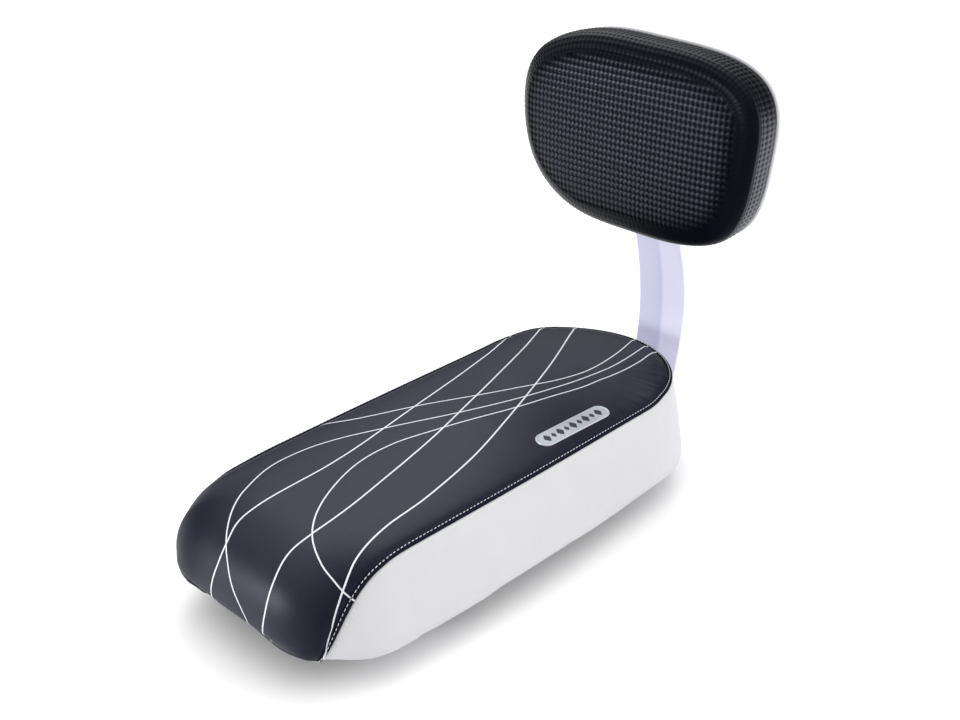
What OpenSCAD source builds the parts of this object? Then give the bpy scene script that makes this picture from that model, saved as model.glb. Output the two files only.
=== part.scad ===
// Bicycle rear seat cushion with a backrest, to clamp on a luggage rack.
// Millimetres. +Z is up, the front of the seat points to -Y, the backrest
// stands at +Y, and the plane x = 0 cuts the seat in two equal halves.
// z = 0 is the level of the four clamp bolt heads, on which it stands.

/* [Seat cushion] */
// Half width of the seat bottom at its ends
seat_hw = 77.4; // [70:0.1:84]
// How far the long sides bow out at mid length
side_bow = 8; // [2:0.5:10]
// Front end of the seat bottom, from the seat centre
front_y = -178.3; // [-190:0.1:-165]
// Rear end of the seat bottom, from the seat centre
rear_y = 180; // [165:1:190]
// Plan radius of the two front corners
front_r = 47; // [40:1:60]
// Height of the seam between top panel and side band
seam_h = 49; // [42:1:54]
// Height of the seat at its middle
seat_h = 56.5; // [50:0.5:60]
// How far the side band leans in up to the seam
side_lean = 10.6; // [4:0.1:14]
// How far the rear of the band leans in
rear_lean = 4; // [2:0.5:10]
// How far the rolled front end bulges forward
front_bulge = 7.4; // [0:0.1:10]
// Thickness of the cover material
cover_t = 1.2; // [0.8:0.1:2]

/* [Seat base] */
// Thickness of the plywood base board
board_t = 9; // [8:0.5:12]
// Thickness of the liner sheet under the board
liner_t = 1; // [0.6:0.1:1.1]
// Width of the cover folded in under the board
fold_w = 20; // [14:1:26]
// Distance between neighbouring staples
staple_pitch = 24; // [16:1:40]

/* [Rack clamps] */
// Distance between the two clamp bolts of one plate
clamp_dx = 104; // [90:1:116]
// Distance of each clamp plate from the seat centre
clamp_y = 100; // [80:1:110]
// Free height for the rack's rails
rail_gap = 12; // [10:0.5:16]
// Thickness of a clamp plate
plate_t = 2.5; // [2:0.5:4]
// Width of a clamp plate
plate_w = 28; // [24:1:34]
// Length of a clamp plate
plate_l = 134; // [126:1:144]
// Radius of the bolts
bolt_r = 3; // [2.5:0.5:3]

/* [Backrest bar] */
// Width of the flat bar
bar_w = 37; // [30:1:44]
// Thickness of the flat bar
bar_t = 3; // [3:0.5:4]
// Radius of the long bow of the upright
bow_r = 165; // [150:1:190]
// Length of the bar's flat foot under the seat
foot_l = 116; // [100:1:120]

/* [Backrest pad] */
// Half width of the pad
pad_a = 93.9; // [85:0.1:100]
// Half height of the pad
pad_b = 65.9; // [60:0.1:70]
// Thickness of the pad
pad_t = 26.6; // [22:0.1:30]
// Height of the pad's middle above the seat bottom
pad_z = 201.3; // [195:0.1:206]
// Exponent of the pad's rounded outline
pad_n = 3.2; // [2.8:0.1:3.6]
// How much wider the pad is at its top than at its middle
pad_taper = 0.07; // [0:0.01:0.1]

/* [Hidden] */
washer_t = 1;
spring_t = 1.5;
head_h = 4;
head_af = 10;
base_z = head_h + spring_t + washer_t + plate_t + rail_gap;   // seat bottom above the ground
shift_y = -11.5;                                              // puts the box centre at y = 0
rear_r = seat_hw - 0.1;
board_z = cover_t;                                            // board lies on the folded cover
board_top = board_z + board_t;
seam_y0 = -169.7;                                             // the seam reaches the bottom here
seam_y1 = -100.4;                                             // and its full height here
seam_p = 4.8;
roll_n = 4.0;
crown_n = 1.85;
spine_f = 62;
spine_r = 88;

// ---------------------------------------------------------------- seat form
function lim(v, a, b) = max(a, min(b, v));

// Where on the front corner's arc the seam comes down to the bottom.
seam_t = asin((seam_y0 - front_y - front_r) / front_r);
corner_t = concat([for (i = [0:3]) -90 + (seam_t + 90) * i / 4],
                  [for (d = [0, 0.7, 2, 4, 7, 11, 16, 22, 29, 37, 46]) seam_t + d]);
// Half of the plan outline, front middle to rear middle, as [x, y].
function half_outline() = concat(
    [for (i = [0:4]) [(seat_hw - front_r) * i / 5, front_y]],
    [for (t = corner_t)
        [seat_hw - front_r + front_r * cos(t), front_y + front_r + front_r * sin(t)]],
    [for (i = [0:10]) [seat_hw, front_y + front_r + (rear_y - rear_r - front_y - front_r) * i / 11]],
    [for (i = [0:12]) let (t = 7.5 * i)
        [seat_hw - rear_r + rear_r * cos(t), rear_y - rear_r + rear_r * sin(t)]]);
HP = half_outline();
HN = len(HP) - 1;
function bow(p) = side_bow * (1 - pow(p[1] / 180, 2)) * lim(p[0] / seat_hw, 0, 1);
RING = concat(
    [for (p = HP) [(p == HP[HN]) ? 0 : p[0] + bow(p), p[1]]],
    [for (i = [HN - 1:-1:1]) [-(HP[i][0] + bow(HP[i])), HP[i][1]]]);
RN = len(RING);

// The seam's height above the seat bottom, at one outline point.
function seam_z(p) = seam_h * (1 - pow(1 - lim((p[1] - seam_y0) / (seam_y1 - seam_y0), 0, 1), seam_p));
// The point of the middle line that this outline point looks to.
function spine_y(p) = (spine_f - spine_r) / 2
    + (360 - spine_f - spine_r) / 2 * sin(90 * lim(p[1], -180, 180) / 180);
function aim(p) = let (d = [-p[0], spine_y(p) - p[1]]) d / norm(d);
function reach(p) = norm([-p[0], spine_y(p) - p[1]]);
function lean(p) = let (
    c = lim(abs(p[0]) / seat_hw, 0, 1),
    s = side_lean + 5 * (1 - pow(p[1] / 180, 2)) * c,
    l = p[1] > 0 ? s * c * c + rear_lean * (1 - c * c) : s) l * seam_z(p) / seam_h;
function frontness(p) = lim(1 - seam_z(p) / seam_h, 0, 1);
function bulge(p, z) = front_bulge * frontness(p) * sin(180 * pow(lim(z / seat_h, 0, 1), 0.58));

// A point on the seat's skin moved t into the cushion.
// s runs from 0 at the bottom to 1 at the seam, then to 2 at the middle line.
function skin(p, s, t) = s <= 1 ?
    let (z = seam_z(p) * s,
         i = lean(p) * s - sin(180 * s) * seam_z(p) / seam_h - bulge(p, z),
         d = aim(p))
        [p[0] + d[0] * (i + t), p[1] + d[1] * (i + t), z]
  : let (f = 90 * pow(s - 1, 1.15), sz = seam_z(p),
         n = crown_n + (roll_n - crown_n) * pow(frontness(p), 0.48),
         c = s >= 2 ? 0 : cos(f), q = s >= 2 ? 1 : sin(f),
         z = sz + (seat_h - sz) * pow(q, 2 / n),
         i = lean(p) + (reach(p) - lean(p)) * (1 - pow(c, 2 / n)) - bulge(p, z) * c,
         d = aim(p))
        [p[0] + d[0] * (i + t * c), p[1] + d[1] * (i + t * c), z - t * q];

function flat_list(l) = [for (a = l) for (b = a) b];
function ring_faces(n, a, b) = [for (k = [0:n - 1]) [a + k, a + (k + 1) % n, b + (k + 1) % n, b + k]];

TS = [0.07, 0.16, 0.27, 0.4, 0.54, 0.68, 0.82, 0.93];     // rows over the top panel

// The whole cushion as one closed solid, moved t inside its skin.
module cushion_solid(t) {
    rows = concat([for (s = [0, 0.2, 0.5, 0.8, 1]) [for (p = RING) skin(p, s, t)]],
                  [for (s = TS) [for (p = RING) skin(p, 1 + s, t)]]);
    n = len(rows);
    spine = [for (k = [0:HN]) [0, spine_y(RING[k]), seat_h - t]];
    b = n * RN;
    function sp(k) = b + (k <= HN ? k : RN - k);
    polyhedron(points = concat(flat_list(rows), spine),
        faces = concat(
            [[for (k = [0:RN - 1]) k]],
            [for (r = [0:n - 2]) for (f = ring_faces(RN, r * RN, (r + 1) * RN)) [f[3], f[2], f[1], f[0]]],
            [for (k = [0:RN - 1]) let (a = (n - 1) * RN + k, c = (n - 1) * RN + (k + 1) % RN,
                                       u = sp(k), v = sp((k + 1) % RN)) [u, v, c, a]]),
        convexity = 4);
}

// Black panel: from the seam, or from the bottom at the front, to the middle line.
module top_panel() {
    outer = [for (s = concat([0], TS)) [for (p = RING) skin(p, 1 + s, 0)]];
    inner = [for (s = concat([0], TS)) [for (p = RING) skin(p, 1 + s, cover_t)]];
    n = len(outer);
    so = [for (k = [0:HN]) [0, spine_y(RING[k]), seat_h]];
    si = [for (k = [0:HN]) [0, spine_y(RING[k]), seat_h - cover_t]];
    bo = 2 * n * RN;
    bi = bo + HN + 1;
    function ko(k) = bo + (k <= HN ? k : RN - k);
    function ki(k) = bi + (k <= HN ? k : RN - k);
    polyhedron(points = concat(flat_list(outer), flat_list(inner), so, si),
        faces = concat(
            [for (r = [0:n - 2]) for (f = ring_faces(RN, r * RN, (r + 1) * RN)) [f[3], f[2], f[1], f[0]]],
            [for (r = [0:n - 2]) for (f = ring_faces(RN, (n + r) * RN, (n + r + 1) * RN)) f],
            [for (k = [0:RN - 1]) let (a = (n - 1) * RN + k, c = (n - 1) * RN + (k + 1) % RN)
                [ko(k), ko((k + 1) % RN), c, a]],
            [for (k = [0:RN - 1]) let (a = (2 * n - 1) * RN + k, c = (2 * n - 1) * RN + (k + 1) % RN)
                [a, c, ki((k + 1) % RN), ki(k)]],
            [for (k = [0:RN - 1]) [k, (k + 1) % RN, n * RN + (k + 1) % RN, n * RN + k]]),
        convexity = 6);
}

// A closed strip swept along a list of rings of equal length.
module strip(rings) {
    m = len(rings[0]);
    n = len(rings);
    polyhedron(points = flat_list(rings),
        faces = concat(
            [[for (k = [m - 1:-1:0]) k]],
            [for (r = [0:n - 2]) for (f = ring_faces(m, r * m, (r + 1) * m)) f],
            [[for (k = [0:m - 1]) (n - 1) * m + k]]),
        convexity = 8);
}

function bottom_in(p, w) = [p[0] + aim(p)[0] * w, p[1] + aim(p)[1] * w];
function band_section(p) = let (
    up = [0, 0.25, 0.5, 0.75, 1],
    g = 0.12,
    o = [for (s = up) let (q = skin(p, s, 0)) [q[0], q[1], min(q[2], seam_z(p) - g)]],
    i = [for (s = [1, 0.75, 0.5, 0.25]) let (q = skin(p, s, cover_t)) [q[0], q[1], min(q[2], seam_z(p) - g)]],
    a = bottom_in(p, cover_t + 0.2), b = bottom_in(p, fold_w))
    concat([[b[0], b[1], 0]], o, i, [[a[0], a[1], cover_t], [b[0], b[1], cover_t]]);
// Outline points that belong to the band, from the near front corner round the rear.
BAND = [for (k = [0:RN - 1]) if (seam_z(RING[k]) > 0.9) k];
FRONT = concat([for (k = [BAND[len(BAND) - 1] + 1:RN - 1]) k], [for (k = [0:BAND[0] - 1]) k]);

module at_seat() translate([0, shift_y, base_z]) children();
module plan(w) polygon([for (p = RING) bottom_in(p, w)]);
module at_clamps() for (x = [-1, 1]) for (y = [-1, 1]) translate([x * clamp_dx / 2, y * clamp_y, 0]) children();
bar_bolt_y = [80, 128];
module at_bar_bolts() for (y = bar_bolt_y) translate([0, y, 0]) children();

// ---------------------------------------------------------------- seat nodes
module seat_top_cover() color([0.24, 0.25, 0.29]) at_seat() {
    top_panel();
    // the front of the panel is folded in under the board
    strip([for (k = FRONT) let (p = RING[k], a = bottom_in(p, 0.3), b = bottom_in(p, fold_w))
        [[b[0], b[1], 0], [a[0], a[1], 0], [a[0], a[1], cover_t], [b[0], b[1], cover_t]]]);
}
module seat_side_band() color([0.94, 0.94, 0.95]) at_seat()
    strip([for (k = BAND) band_section(RING[k])]);
module seat_foam() color([0.86, 0.84, 0.74]) at_seat() difference() {
    cushion_solid(cover_t + 0.3);
    translate([-150, -250, -10]) cube([300, 500, 10 + board_top + 0.1]);
    at_clamps() translate([0, 0, board_top]) cylinder(r = 10.5, h = 4, $fn = 32);
    at_bar_bolts() translate([0, 0, board_top]) cylinder(r = 10.5, h = 4, $fn = 32);
}
module seat_board() color([0.72, 0.56, 0.36]) at_seat() translate([0, 0, board_z]) difference() {
    linear_extrude(board_t) plan(4.6);
    at_clamps() translate([0, 0, -1]) cylinder(r = 4, h = board_t + 2, $fn = 48);
    at_bar_bolts() translate([0, 0, -1]) cylinder(r = 4, h = board_t + 2, $fn = 48);
}
module seat_liner() color([0.16, 0.16, 0.17]) at_seat() translate([0, 0, cover_t - liner_t]) difference() {
    linear_extrude(liner_t) plan(fold_w + 0.4);
    at_clamps() translate([0, 0, -1]) cylinder(r = 3.4, h = 4, $fn = 48);
    at_bar_bolts() translate([0, 0, -1]) cylinder(r = 3.4, h = 4, $fn = 48);
}
// Lengths along the outline, for the staples.
function run(k) = k == 0 ? 0 : run(k - 1) + norm(RING[k] - RING[k - 1]);
RUN = [for (k = [0:HN]) run(k)];
function seg(d, k = 0) = (k >= HN - 1 || RUN[k + 1] >= d) ? k : seg(d, k + 1);
function along(d) = let (k = seg(d), f = (d - RUN[k]) / (RUN[k + 1] - RUN[k])) RING[k] * (1 - f) + RING[k + 1] * f;
module seat_staples() color([0.75, 0.76, 0.78]) at_seat() {
    n = floor((RUN[HN] - 30) / staple_pitch);
    for (i = [0:n - 1]) let (d = 22 + i * staple_pitch, p = along(d), q = along(d + 1),
                         b = bottom_in(p, 12.5), e = q - p)
        if (!(p[0] < 26 && p[1] > 150))
            for (m = [1, -1]) translate([m * b[0], b[1], -0.5])
                rotate([0, 0, m * atan2(e[1], e[0])]) translate([-5.2, -0.6, 0]) cube([10.4, 1.2, 0.5]);
}
// A flat pill near the right seam, between the last third and the middle.
module seat_badge() color([0.78, 0.8, 0.83]) at_seat()
    difference() {
        intersection() {
            translate([0, 0, 0.85]) top_panel();
            translate([0, 0, seam_h - 4]) linear_extrude(20) hull() {
                translate([51.6, 20.5]) circle(r = 6.4, $fn = 32);
                translate([53, 67.5]) circle(r = 6.4, $fn = 32);
            }
        }
        translate([0, 0, 0.05]) top_panel();
    }

// ---------------------------------------------------------------- fasteners
// Hexagon head bolt standing on its head, with a shank of length l.
module hex_bolt(l) {
    intersection() {
        cylinder(r = head_af / sqrt(3), h = head_h, $fn = 6);
        union() {
            translate([0, 0, 1]) cylinder(r = head_af / sqrt(3) + 1, h = head_h, $fn = 64);
            cylinder(r1 = head_af / 2 - 0.3, r2 = head_af / sqrt(3) + 0.2, h = 1.001, $fn = 64);
        }
    }
    translate([0, 0, head_h - 0.01]) cylinder(r = bolt_r, h = l + 0.01, $fn = 48);
}
module washer(r, t) difference() {
    cylinder(r = r, h = t, $fn = 64);
    translate([0, 0, -1]) cylinder(r = bolt_r + 0.2, h = t + 2, $fn = 48);
}
module split_washer(t) rotate([0, 0, 12])
    rotate_extrude(angle = 340, $fn = 64) translate([bolt_r + 0.2, 0]) square([2, t]);
// Pronged nut: a flange on top of the board and a barrel in its hole.
module t_nut(b) difference() {
    union() {
        translate([0, 0, -b]) cylinder(r = 3.9, h = b, $fn = 48);
        cylinder(r = 9, h = 1.4, $fn = 64);
    }
    translate([0, 0, -b - 1]) cylinder(r = bolt_r + 0.05, h = b + 4, $fn = 48);
}

module clamp_t_nuts() color([0.8, 0.78, 0.66]) at_seat() at_clamps() translate([0, 0, board_top]) t_nut(board_t - 1);
module bar_t_nuts() color([0.8, 0.78, 0.66]) at_seat() at_bar_bolts() translate([0, 0, board_top]) t_nut(board_t - 1);
module clamp_bolts() color([0.78, 0.79, 0.8]) translate([0, shift_y, 0]) at_clamps()
    hex_bolt(base_z + board_top + 2.4 - head_h);
module clamp_spring_washers() color([0.7, 0.71, 0.72]) translate([0, shift_y, head_h]) at_clamps() split_washer(spring_t);
module clamp_washers() color([0.78, 0.79, 0.8]) translate([0, shift_y, head_h + spring_t]) at_clamps() washer(6.5, washer_t);

// Flat clamp plate with a slot at each end for racks of other widths.
module clamp_plate() difference() {
    linear_extrude(plate_t) difference() {
        square([plate_l, plate_w], center = true);
        for (x = [-1, 1]) for (y = [-1, 1]) translate([x * plate_l / 2, y * plate_w / 2]) difference() {
            square(12, center = true);
            translate([-x * 6, -y * 6]) circle(r = 6, $fn = 48);
        }
    }
    for (x = [-1, 1]) {
        translate([x * clamp_dx / 2 - 5, -bolt_r - 0.3, -1]) cube([10, 2 * bolt_r + 0.6, plate_t + 2]);
        for (e = [-5, 5]) translate([x * clamp_dx / 2 + e, 0, -1]) cylinder(r = bolt_r + 0.3, h = plate_t + 2, $fn = 48);
    }
}
plate_z = head_h + spring_t + washer_t;
module clamp_plate_front() color([0.72, 0.73, 0.75]) translate([0, shift_y - clamp_y, plate_z]) clamp_plate();
module clamp_plate_rear() color([0.72, 0.73, 0.75]) translate([0, shift_y + clamp_y, plate_z]) clamp_plate();

// ---------------------------------------------------------------- backrest bar
// Centre line in the plane x = 0, angles from level: foot, tight bend, long bow,
// straight stretch, and a reverse bend that ends upright behind the pad.
foot_z = -bar_t / 2 - 0.15;
low_r = 24;
top_r = 60;
a1 = 75;
a2 = 107;
bow_y = 207 - bow_r;                          // centre of the long bow
bow_z = 62;
b0 = [bow_y + bow_r * sin(a1), bow_z - bow_r * cos(a1)];
b1 = [bow_y + bow_r * sin(a2), bow_z - bow_r * cos(a2)];
rise = b0[1] - foot_z - low_r * (1 - cos(a1));   // short straight above the tight bend
s0 = [b0[0] - rise / tan(a1), b0[1] - rise];
foot_y = s0[0] - low_r * sin(a1);
lean_l = 27;
b2 = b1 + lean_l * [cos(a2), sin(a2)];
b3 = [b2[0] - top_r * (1 - cos(a2 - 90)), b2[1] + top_r * sin(a2 - 90)];
bar_top = 232;

// An arc about c as a list of points; angle 0 is its lowest point.
function bend(c, r, f, t, step) = let (n = ceil(abs(t - f) / step))
    [for (i = [0:n]) let (a = f + (t - f) * i / n) c + r * [sin(a), -cos(a)]];
// One long side of the bar's profile in the Y-Z plane: h is half the thickness, with its sign.
function bar_side(h) = concat(
    [[foot_y - foot_l, foot_z + h]],
    bend([foot_y, foot_z + low_r], low_r - h, 0, a1, 5),
    bend([bow_y, bow_z], bow_r - h, a1, a2, 2),
    bend([b3[0] + top_r, b3[1]], top_r + h, 180 + a2, 270, 3),
    [[b3[0] - h, bar_top]]);
bar_rest_z = [186, 218];
module backrest_bar() color([0.82, 0.82, 0.92]) at_seat() difference() {
    side = bar_side(-bar_t / 2);
    translate([-bar_w / 2, 0, 0]) rotate([90, 0, 90]) linear_extrude(bar_w)
        polygon(concat(bar_side(bar_t / 2), [for (i = [len(side) - 1:-1:0]) side[i]]));
    // round foot end and round top end
    translate([0, foot_y - foot_l + bar_w / 2, -10]) difference() {
        translate([-bar_w, -bar_w, 0]) cube([2 * bar_w, bar_w, 20]);
        translate([0, 0, -1]) cylinder(r = bar_w / 2, h = 22, $fn = 96);
    }
    translate([0, b3[0] + 10, bar_top - bar_w / 2]) rotate([90, 0, 0]) difference() {
        translate([-bar_w, 0, 0]) cube([2 * bar_w, bar_w, 20]);
        translate([0, 0, -1]) cylinder(r = bar_w / 2, h = 22, $fn = 96);
    }
    at_bar_bolts() translate([0, 0, -10]) cylinder(r = bolt_r + 0.3, h = 20, $fn = 48);
    for (z = bar_rest_z) translate([0, b3[0] + 10, z]) rotate([90, 0, 0]) cylinder(r = bolt_r + 0.3, h = 20, $fn = 48);
}
module bar_washers() color([0.78, 0.79, 0.8]) at_seat() at_bar_bolts() translate([0, 0, foot_z - bar_t / 2 - washer_t]) washer(7, washer_t);
module bar_bolts() color([0.78, 0.79, 0.8]) at_seat() at_bar_bolts()
    translate([0, 0, foot_z - bar_t / 2 - washer_t - head_h]) hex_bolt(board_top + 2 + washer_t - foot_z + bar_t / 2);

// ---------------------------------------------------------------- backrest
pad_y = 154.7;                 // front of the pad's edge
pad_back = pad_y + pad_t;      // plane between pad and shell
bar_face = b3[0] - bar_t / 2;
function pow_s(v, e) = (v < 0 ? -1 : 1) * pow(abs(v), e);
// Outline point of the pad at angle t, g inside the full outline.
function pad_pt(t, g) = let (
    x = pow_s(cos(t), 2 / pad_n), z = pow_s(sin(t), 2 / pad_n))
    [(pad_a - g) * x * (1 + pad_taper * z), (pad_b - g) * z];
PA = [for (i = [0:71]) 5 * i];
// Loft of outlines along Y: each row is [inset, y].
module pad_loft(rows, front, back) {
    n = len(rows);
    m = len(PA);
    pts = [for (r = rows) for (t = PA) let (q = pad_pt(t, r[0])) [q[0], r[1], q[1]]];
    polyhedron(points = concat(pts, [[0, front, 0], [0, back, 0]]),
        faces = concat(
            [for (r = [0:n - 2]) for (f = ring_faces(m, r * m, (r + 1) * m)) f],
            [for (k = [0:m - 1]) [n * m, (k + 1) % m, k]],
            [for (k = [0:m - 1]) [n * m + 1, (n - 1) * m + k, (n - 1) * m + (k + 1) % m]]),
        convexity = 6);
}
// Rows of the pad, g inside its skin: crowned face, rolled edge, side wall.
function pad_rows(g, back) = [
    [60, pad_y - 4.0 + g], [42, pad_y - 3.7 + g], [26, pad_y - 2.6 + g], [16, pad_y - 0.9 + g],
    [9.5 + g * 0.5, pad_y + 1.6 + g * 0.9], [5 + g * 0.7, pad_y + 4.4 + g * 0.7], [2 + g * 0.9, pad_y + 7.6 + g * 0.4],
    [0.5 + g, pad_y + 11.5], [0 + g, pad_y + 16], [0.8 + g, pad_y + 21], [2.6 + g, back]];
module at_pad() at_seat() translate([0, 0, pad_z]) children();
module backrest_cover() color([0.15, 0.16, 0.19]) at_pad() {
    difference() {
        pad_loft(pad_rows(0, pad_back), pad_y - 4.2, pad_back);
        pad_loft(pad_rows(cover_t, pad_back + 2), pad_y - 4.2 + cover_t, pad_back + 2);
    }
    // the cover is folded in over the back of the board
    difference() {
        translate([0, pad_back, 0]) rotate([90, 0, 0]) linear_extrude(cover_t) polygon([for (t = PA) pad_pt(t, 3.0)]);
        translate([0, pad_back + 1, 0]) rotate([90, 0, 0]) linear_extrude(4) polygon([for (t = PA) pad_pt(t, 20)]);
    }
}
rest_board_t = 7;
rest_board_y = pad_back - cover_t - rest_board_t;
module backrest_foam() color([0.86, 0.84, 0.74]) at_pad() difference() {
    intersection() {
        pad_loft(pad_rows(cover_t + 0.3, pad_back), pad_y - 4.2 + cover_t + 0.3, pad_back);
        translate([-200, pad_y - 50, -200]) cube([400, 50 + rest_board_y - 0.1 - pad_y, 400]);
    }
    for (z = bar_rest_z) translate([0, rest_board_y + 1, z - pad_z]) rotate([90, 0, 0]) cylinder(r = 10.5, h = 7.5, $fn = 32);
}
module backrest_board() color([0.72, 0.56, 0.36]) at_pad() difference() {
    translate([0, rest_board_y + rest_board_t, 0]) rotate([90, 0, 0])
        linear_extrude(rest_board_t) polygon([for (t = PA) pad_pt(t, 5.2)]);
    for (z = bar_rest_z) translate([0, pad_back + 5, z - pad_z]) rotate([90, 0, 0]) cylinder(r = 4, h = 20, $fn = 48);
}
module backrest_staples() color([0.75, 0.76, 0.78]) at_pad()
    for (t = [7.5:15:359]) let (p = pad_pt(t, 13), q = pad_pt(t + 1, 13), e = q - p)
        translate([p[0], pad_back, p[1]]) rotate([0, -atan2(e[1], e[0]), 0])
            translate([-5.2, 0, -0.6]) cube([10.4, 0.5, 1.2]);
// Hard shell: a shallow tray with a rounded rim, open towards the pad.
module backrest_shell() color([0.95, 0.95, 0.97]) at_pad() difference() {
    pad_loft([[1.4, pad_back + 0.1], [0.6, pad_back + 0.9], [0.8, pad_back + 2.6], [2.2, pad_back + 4.4], [5, pad_back + 5.8], [9, bar_face - 0.1], [30, bar_face - 0.05]], pad_back + 0.1, bar_face - 0.05);
    difference() {
        pad_loft([[3.8, pad_back - 1], [3.8, pad_back + 1.6], [5.2, pad_back + 2.8], [8, pad_back + 3.6], [30, pad_back + 4]], pad_back - 1, pad_back + 4);
        // two bosses that the bolts pass through
        for (z = bar_rest_z) translate([0, pad_back + 8, z - pad_z]) rotate([90, 0, 0]) cylinder(r = 8, h = 7.9, $fn = 48);
    }
    for (z = bar_rest_z) translate([0, pad_back + 20, z - pad_z]) rotate([90, 0, 0]) cylinder(r = bolt_r + 0.3, h = 40, $fn = 48);
}
// Turns a fastener that stands on its head to point at the pad from behind.
module from_rear() for (z = bar_rest_z) translate([0, 0, z - pad_z]) rotate([90, 0, 0]) children();
module backrest_t_nuts() color([0.8, 0.78, 0.66]) at_pad() translate([0, rest_board_y, 0]) from_rear() t_nut(rest_board_t - 1);
module backrest_washers() color([0.78, 0.79, 0.8]) at_pad() translate([0, bar_face + bar_t + washer_t, 0]) from_rear() washer(7, washer_t);
module backrest_bolts() color([0.78, 0.79, 0.8]) at_pad() translate([0, bar_face + bar_t + washer_t + head_h, 0])
    from_rear() hex_bolt(bar_face + bar_t + washer_t - rest_board_y + 3);

seat_top_cover();
seat_side_band();
seat_foam();
seat_board();
seat_liner();
seat_staples();
seat_badge();
clamp_t_nuts();
bar_t_nuts();
clamp_plate_front();
clamp_plate_rear();
clamp_bolts();
clamp_washers();
clamp_spring_washers();
backrest_bar();
bar_bolts();
bar_washers();
backrest_shell();
backrest_board();
backrest_foam();
backrest_cover();
backrest_staples();
backrest_t_nuts();
backrest_bolts();
backrest_washers();
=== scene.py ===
import bpy
import math
import numpy as np
from mathutils import Matrix, Vector
from mathutils.bvhtree import BVHTree


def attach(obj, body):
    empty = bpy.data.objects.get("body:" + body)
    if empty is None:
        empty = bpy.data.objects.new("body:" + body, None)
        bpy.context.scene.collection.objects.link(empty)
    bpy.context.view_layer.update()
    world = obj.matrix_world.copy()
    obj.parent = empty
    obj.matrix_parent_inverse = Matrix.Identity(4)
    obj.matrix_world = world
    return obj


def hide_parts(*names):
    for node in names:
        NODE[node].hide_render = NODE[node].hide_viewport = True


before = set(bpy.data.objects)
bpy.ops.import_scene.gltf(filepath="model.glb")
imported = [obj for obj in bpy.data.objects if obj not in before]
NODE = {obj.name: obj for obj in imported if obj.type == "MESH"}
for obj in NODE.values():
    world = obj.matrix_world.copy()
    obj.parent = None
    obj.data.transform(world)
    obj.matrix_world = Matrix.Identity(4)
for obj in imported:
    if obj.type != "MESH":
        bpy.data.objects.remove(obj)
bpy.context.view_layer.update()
rng = np.random.default_rng(7)

# Everything below is worked out in millimetres in the seat's own frame
# (x = 0 middle plane, y along the seat, z = 0 the seat's bottom) and put into
# the CAD frame in metres when a mesh is made.
SHIFT = np.array([0.0, -11.5, 21.0])


def to_m(p):
    return (np.asarray(p, float) + SHIFT) / 1000.0


# ------------------------------------------------------------------ camera
cam_data = bpy.data.cameras.new("camera")
cam = bpy.data.objects.new("camera", cam_data)
bpy.context.scene.collection.objects.link(cam)
cam_data.sensor_width = 36.0
cam_data.lens = 47.907
cam_data.clip_start, cam_data.clip_end = 0.01, 50.0
right, up, back = (0.72284, 0.69101, 0.0), (-0.31370, 0.32807, 0.89105), (0.61570, -0.64411, 0.45391)
cam.matrix_world = Matrix((
    (right[0], up[0], back[0], 0.48917),
    (right[1], up[1], back[1], -0.50834),
    (right[2], up[2], back[2], 0.47359),
    (0, 0, 0, 1)))
bpy.context.scene.camera = cam


# ------------------------------------------------------------------ mesh helpers
def add_mesh(name, verts_mm, faces, mats, smooth=True, sharp=None):
    """A mesh object from millimetre points and a list of faces (numpy array or lists)."""
    me = bpy.data.meshes.new(name)
    v = to_m(verts_mm)
    fs = faces.tolist() if isinstance(faces, np.ndarray) else [list(map(int, f)) for f in faces]
    me.from_pydata(v.tolist(), [], fs)
    me.validate(verbose=False)
    for m in mats if isinstance(mats, (list, tuple)) else [mats]:
        me.materials.append(m)
    if smooth:
        me.polygons.foreach_set("use_smooth", np.ones(len(me.polygons), bool))
    me.update()
    ob = bpy.data.objects.new(name, me)
    bpy.context.scene.collection.objects.link(ob)
    if sharp is not None:
        me.set_sharp_from_angle(angle=math.radians(sharp))
    return ob


def put_attr(ob, name, values):
    a = ob.data.attributes.new(name, "FLOAT", "POINT")
    a.data.foreach_set("value", np.asarray(values, np.float32))


def grid_faces(rows, n, start=0, closed=True, flip=False):
    """Quads of a grid of rows x n points."""
    m = n if closed else n - 1
    r = np.arange(rows - 1)[:, None] * n + start
    k = np.arange(m)[None, :]
    k2 = (k + 1) % n
    a, b, c, d = r + k, r + k2, r + n + k2, r + n + k
    f = np.stack([a, b, c, d], -1).reshape(-1, 4)
    return f[:, ::-1] if flip else f


def smoothstep(x, a, b):
    t = np.clip((x - a) / (b - a), 0, 1)
    return t * t * (3 - 2 * t)


def wave_noise(p, seed, scale, octaves=3):
    """Smooth seeded noise in -1..1 from sums of sines, for points in mm."""
    g = np.random.default_rng(seed)
    out = np.zeros(len(p))
    amp, tot = 1.0, 0.0
    for o in range(octaves):
        acc = np.zeros(len(p))
        for _ in range(5):
            d = g.normal(size=p.shape[1])
            d /= np.linalg.norm(d)
            acc += np.sin((p @ d) * (2 * np.pi / scale) * g.uniform(0.7, 1.4) + g.uniform(0, 6.28))
        out += amp * acc / 5 * 1.6
        tot += amp
        amp *= 0.5
        scale *= 0.5
    return out / tot


def resample(p, n, closed=False):
    q = np.vstack([p, p[:1]]) if closed else p
    d = np.r_[0, np.cumsum(np.linalg.norm(np.diff(q, axis=0), axis=1))]
    s = np.linspace(0, d[-1], n + 1 if closed else n)
    if closed:
        s = s[:-1]
    return np.stack([np.interp(s, d, q[:, i]) for i in range(q.shape[1])], 1)


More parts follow.
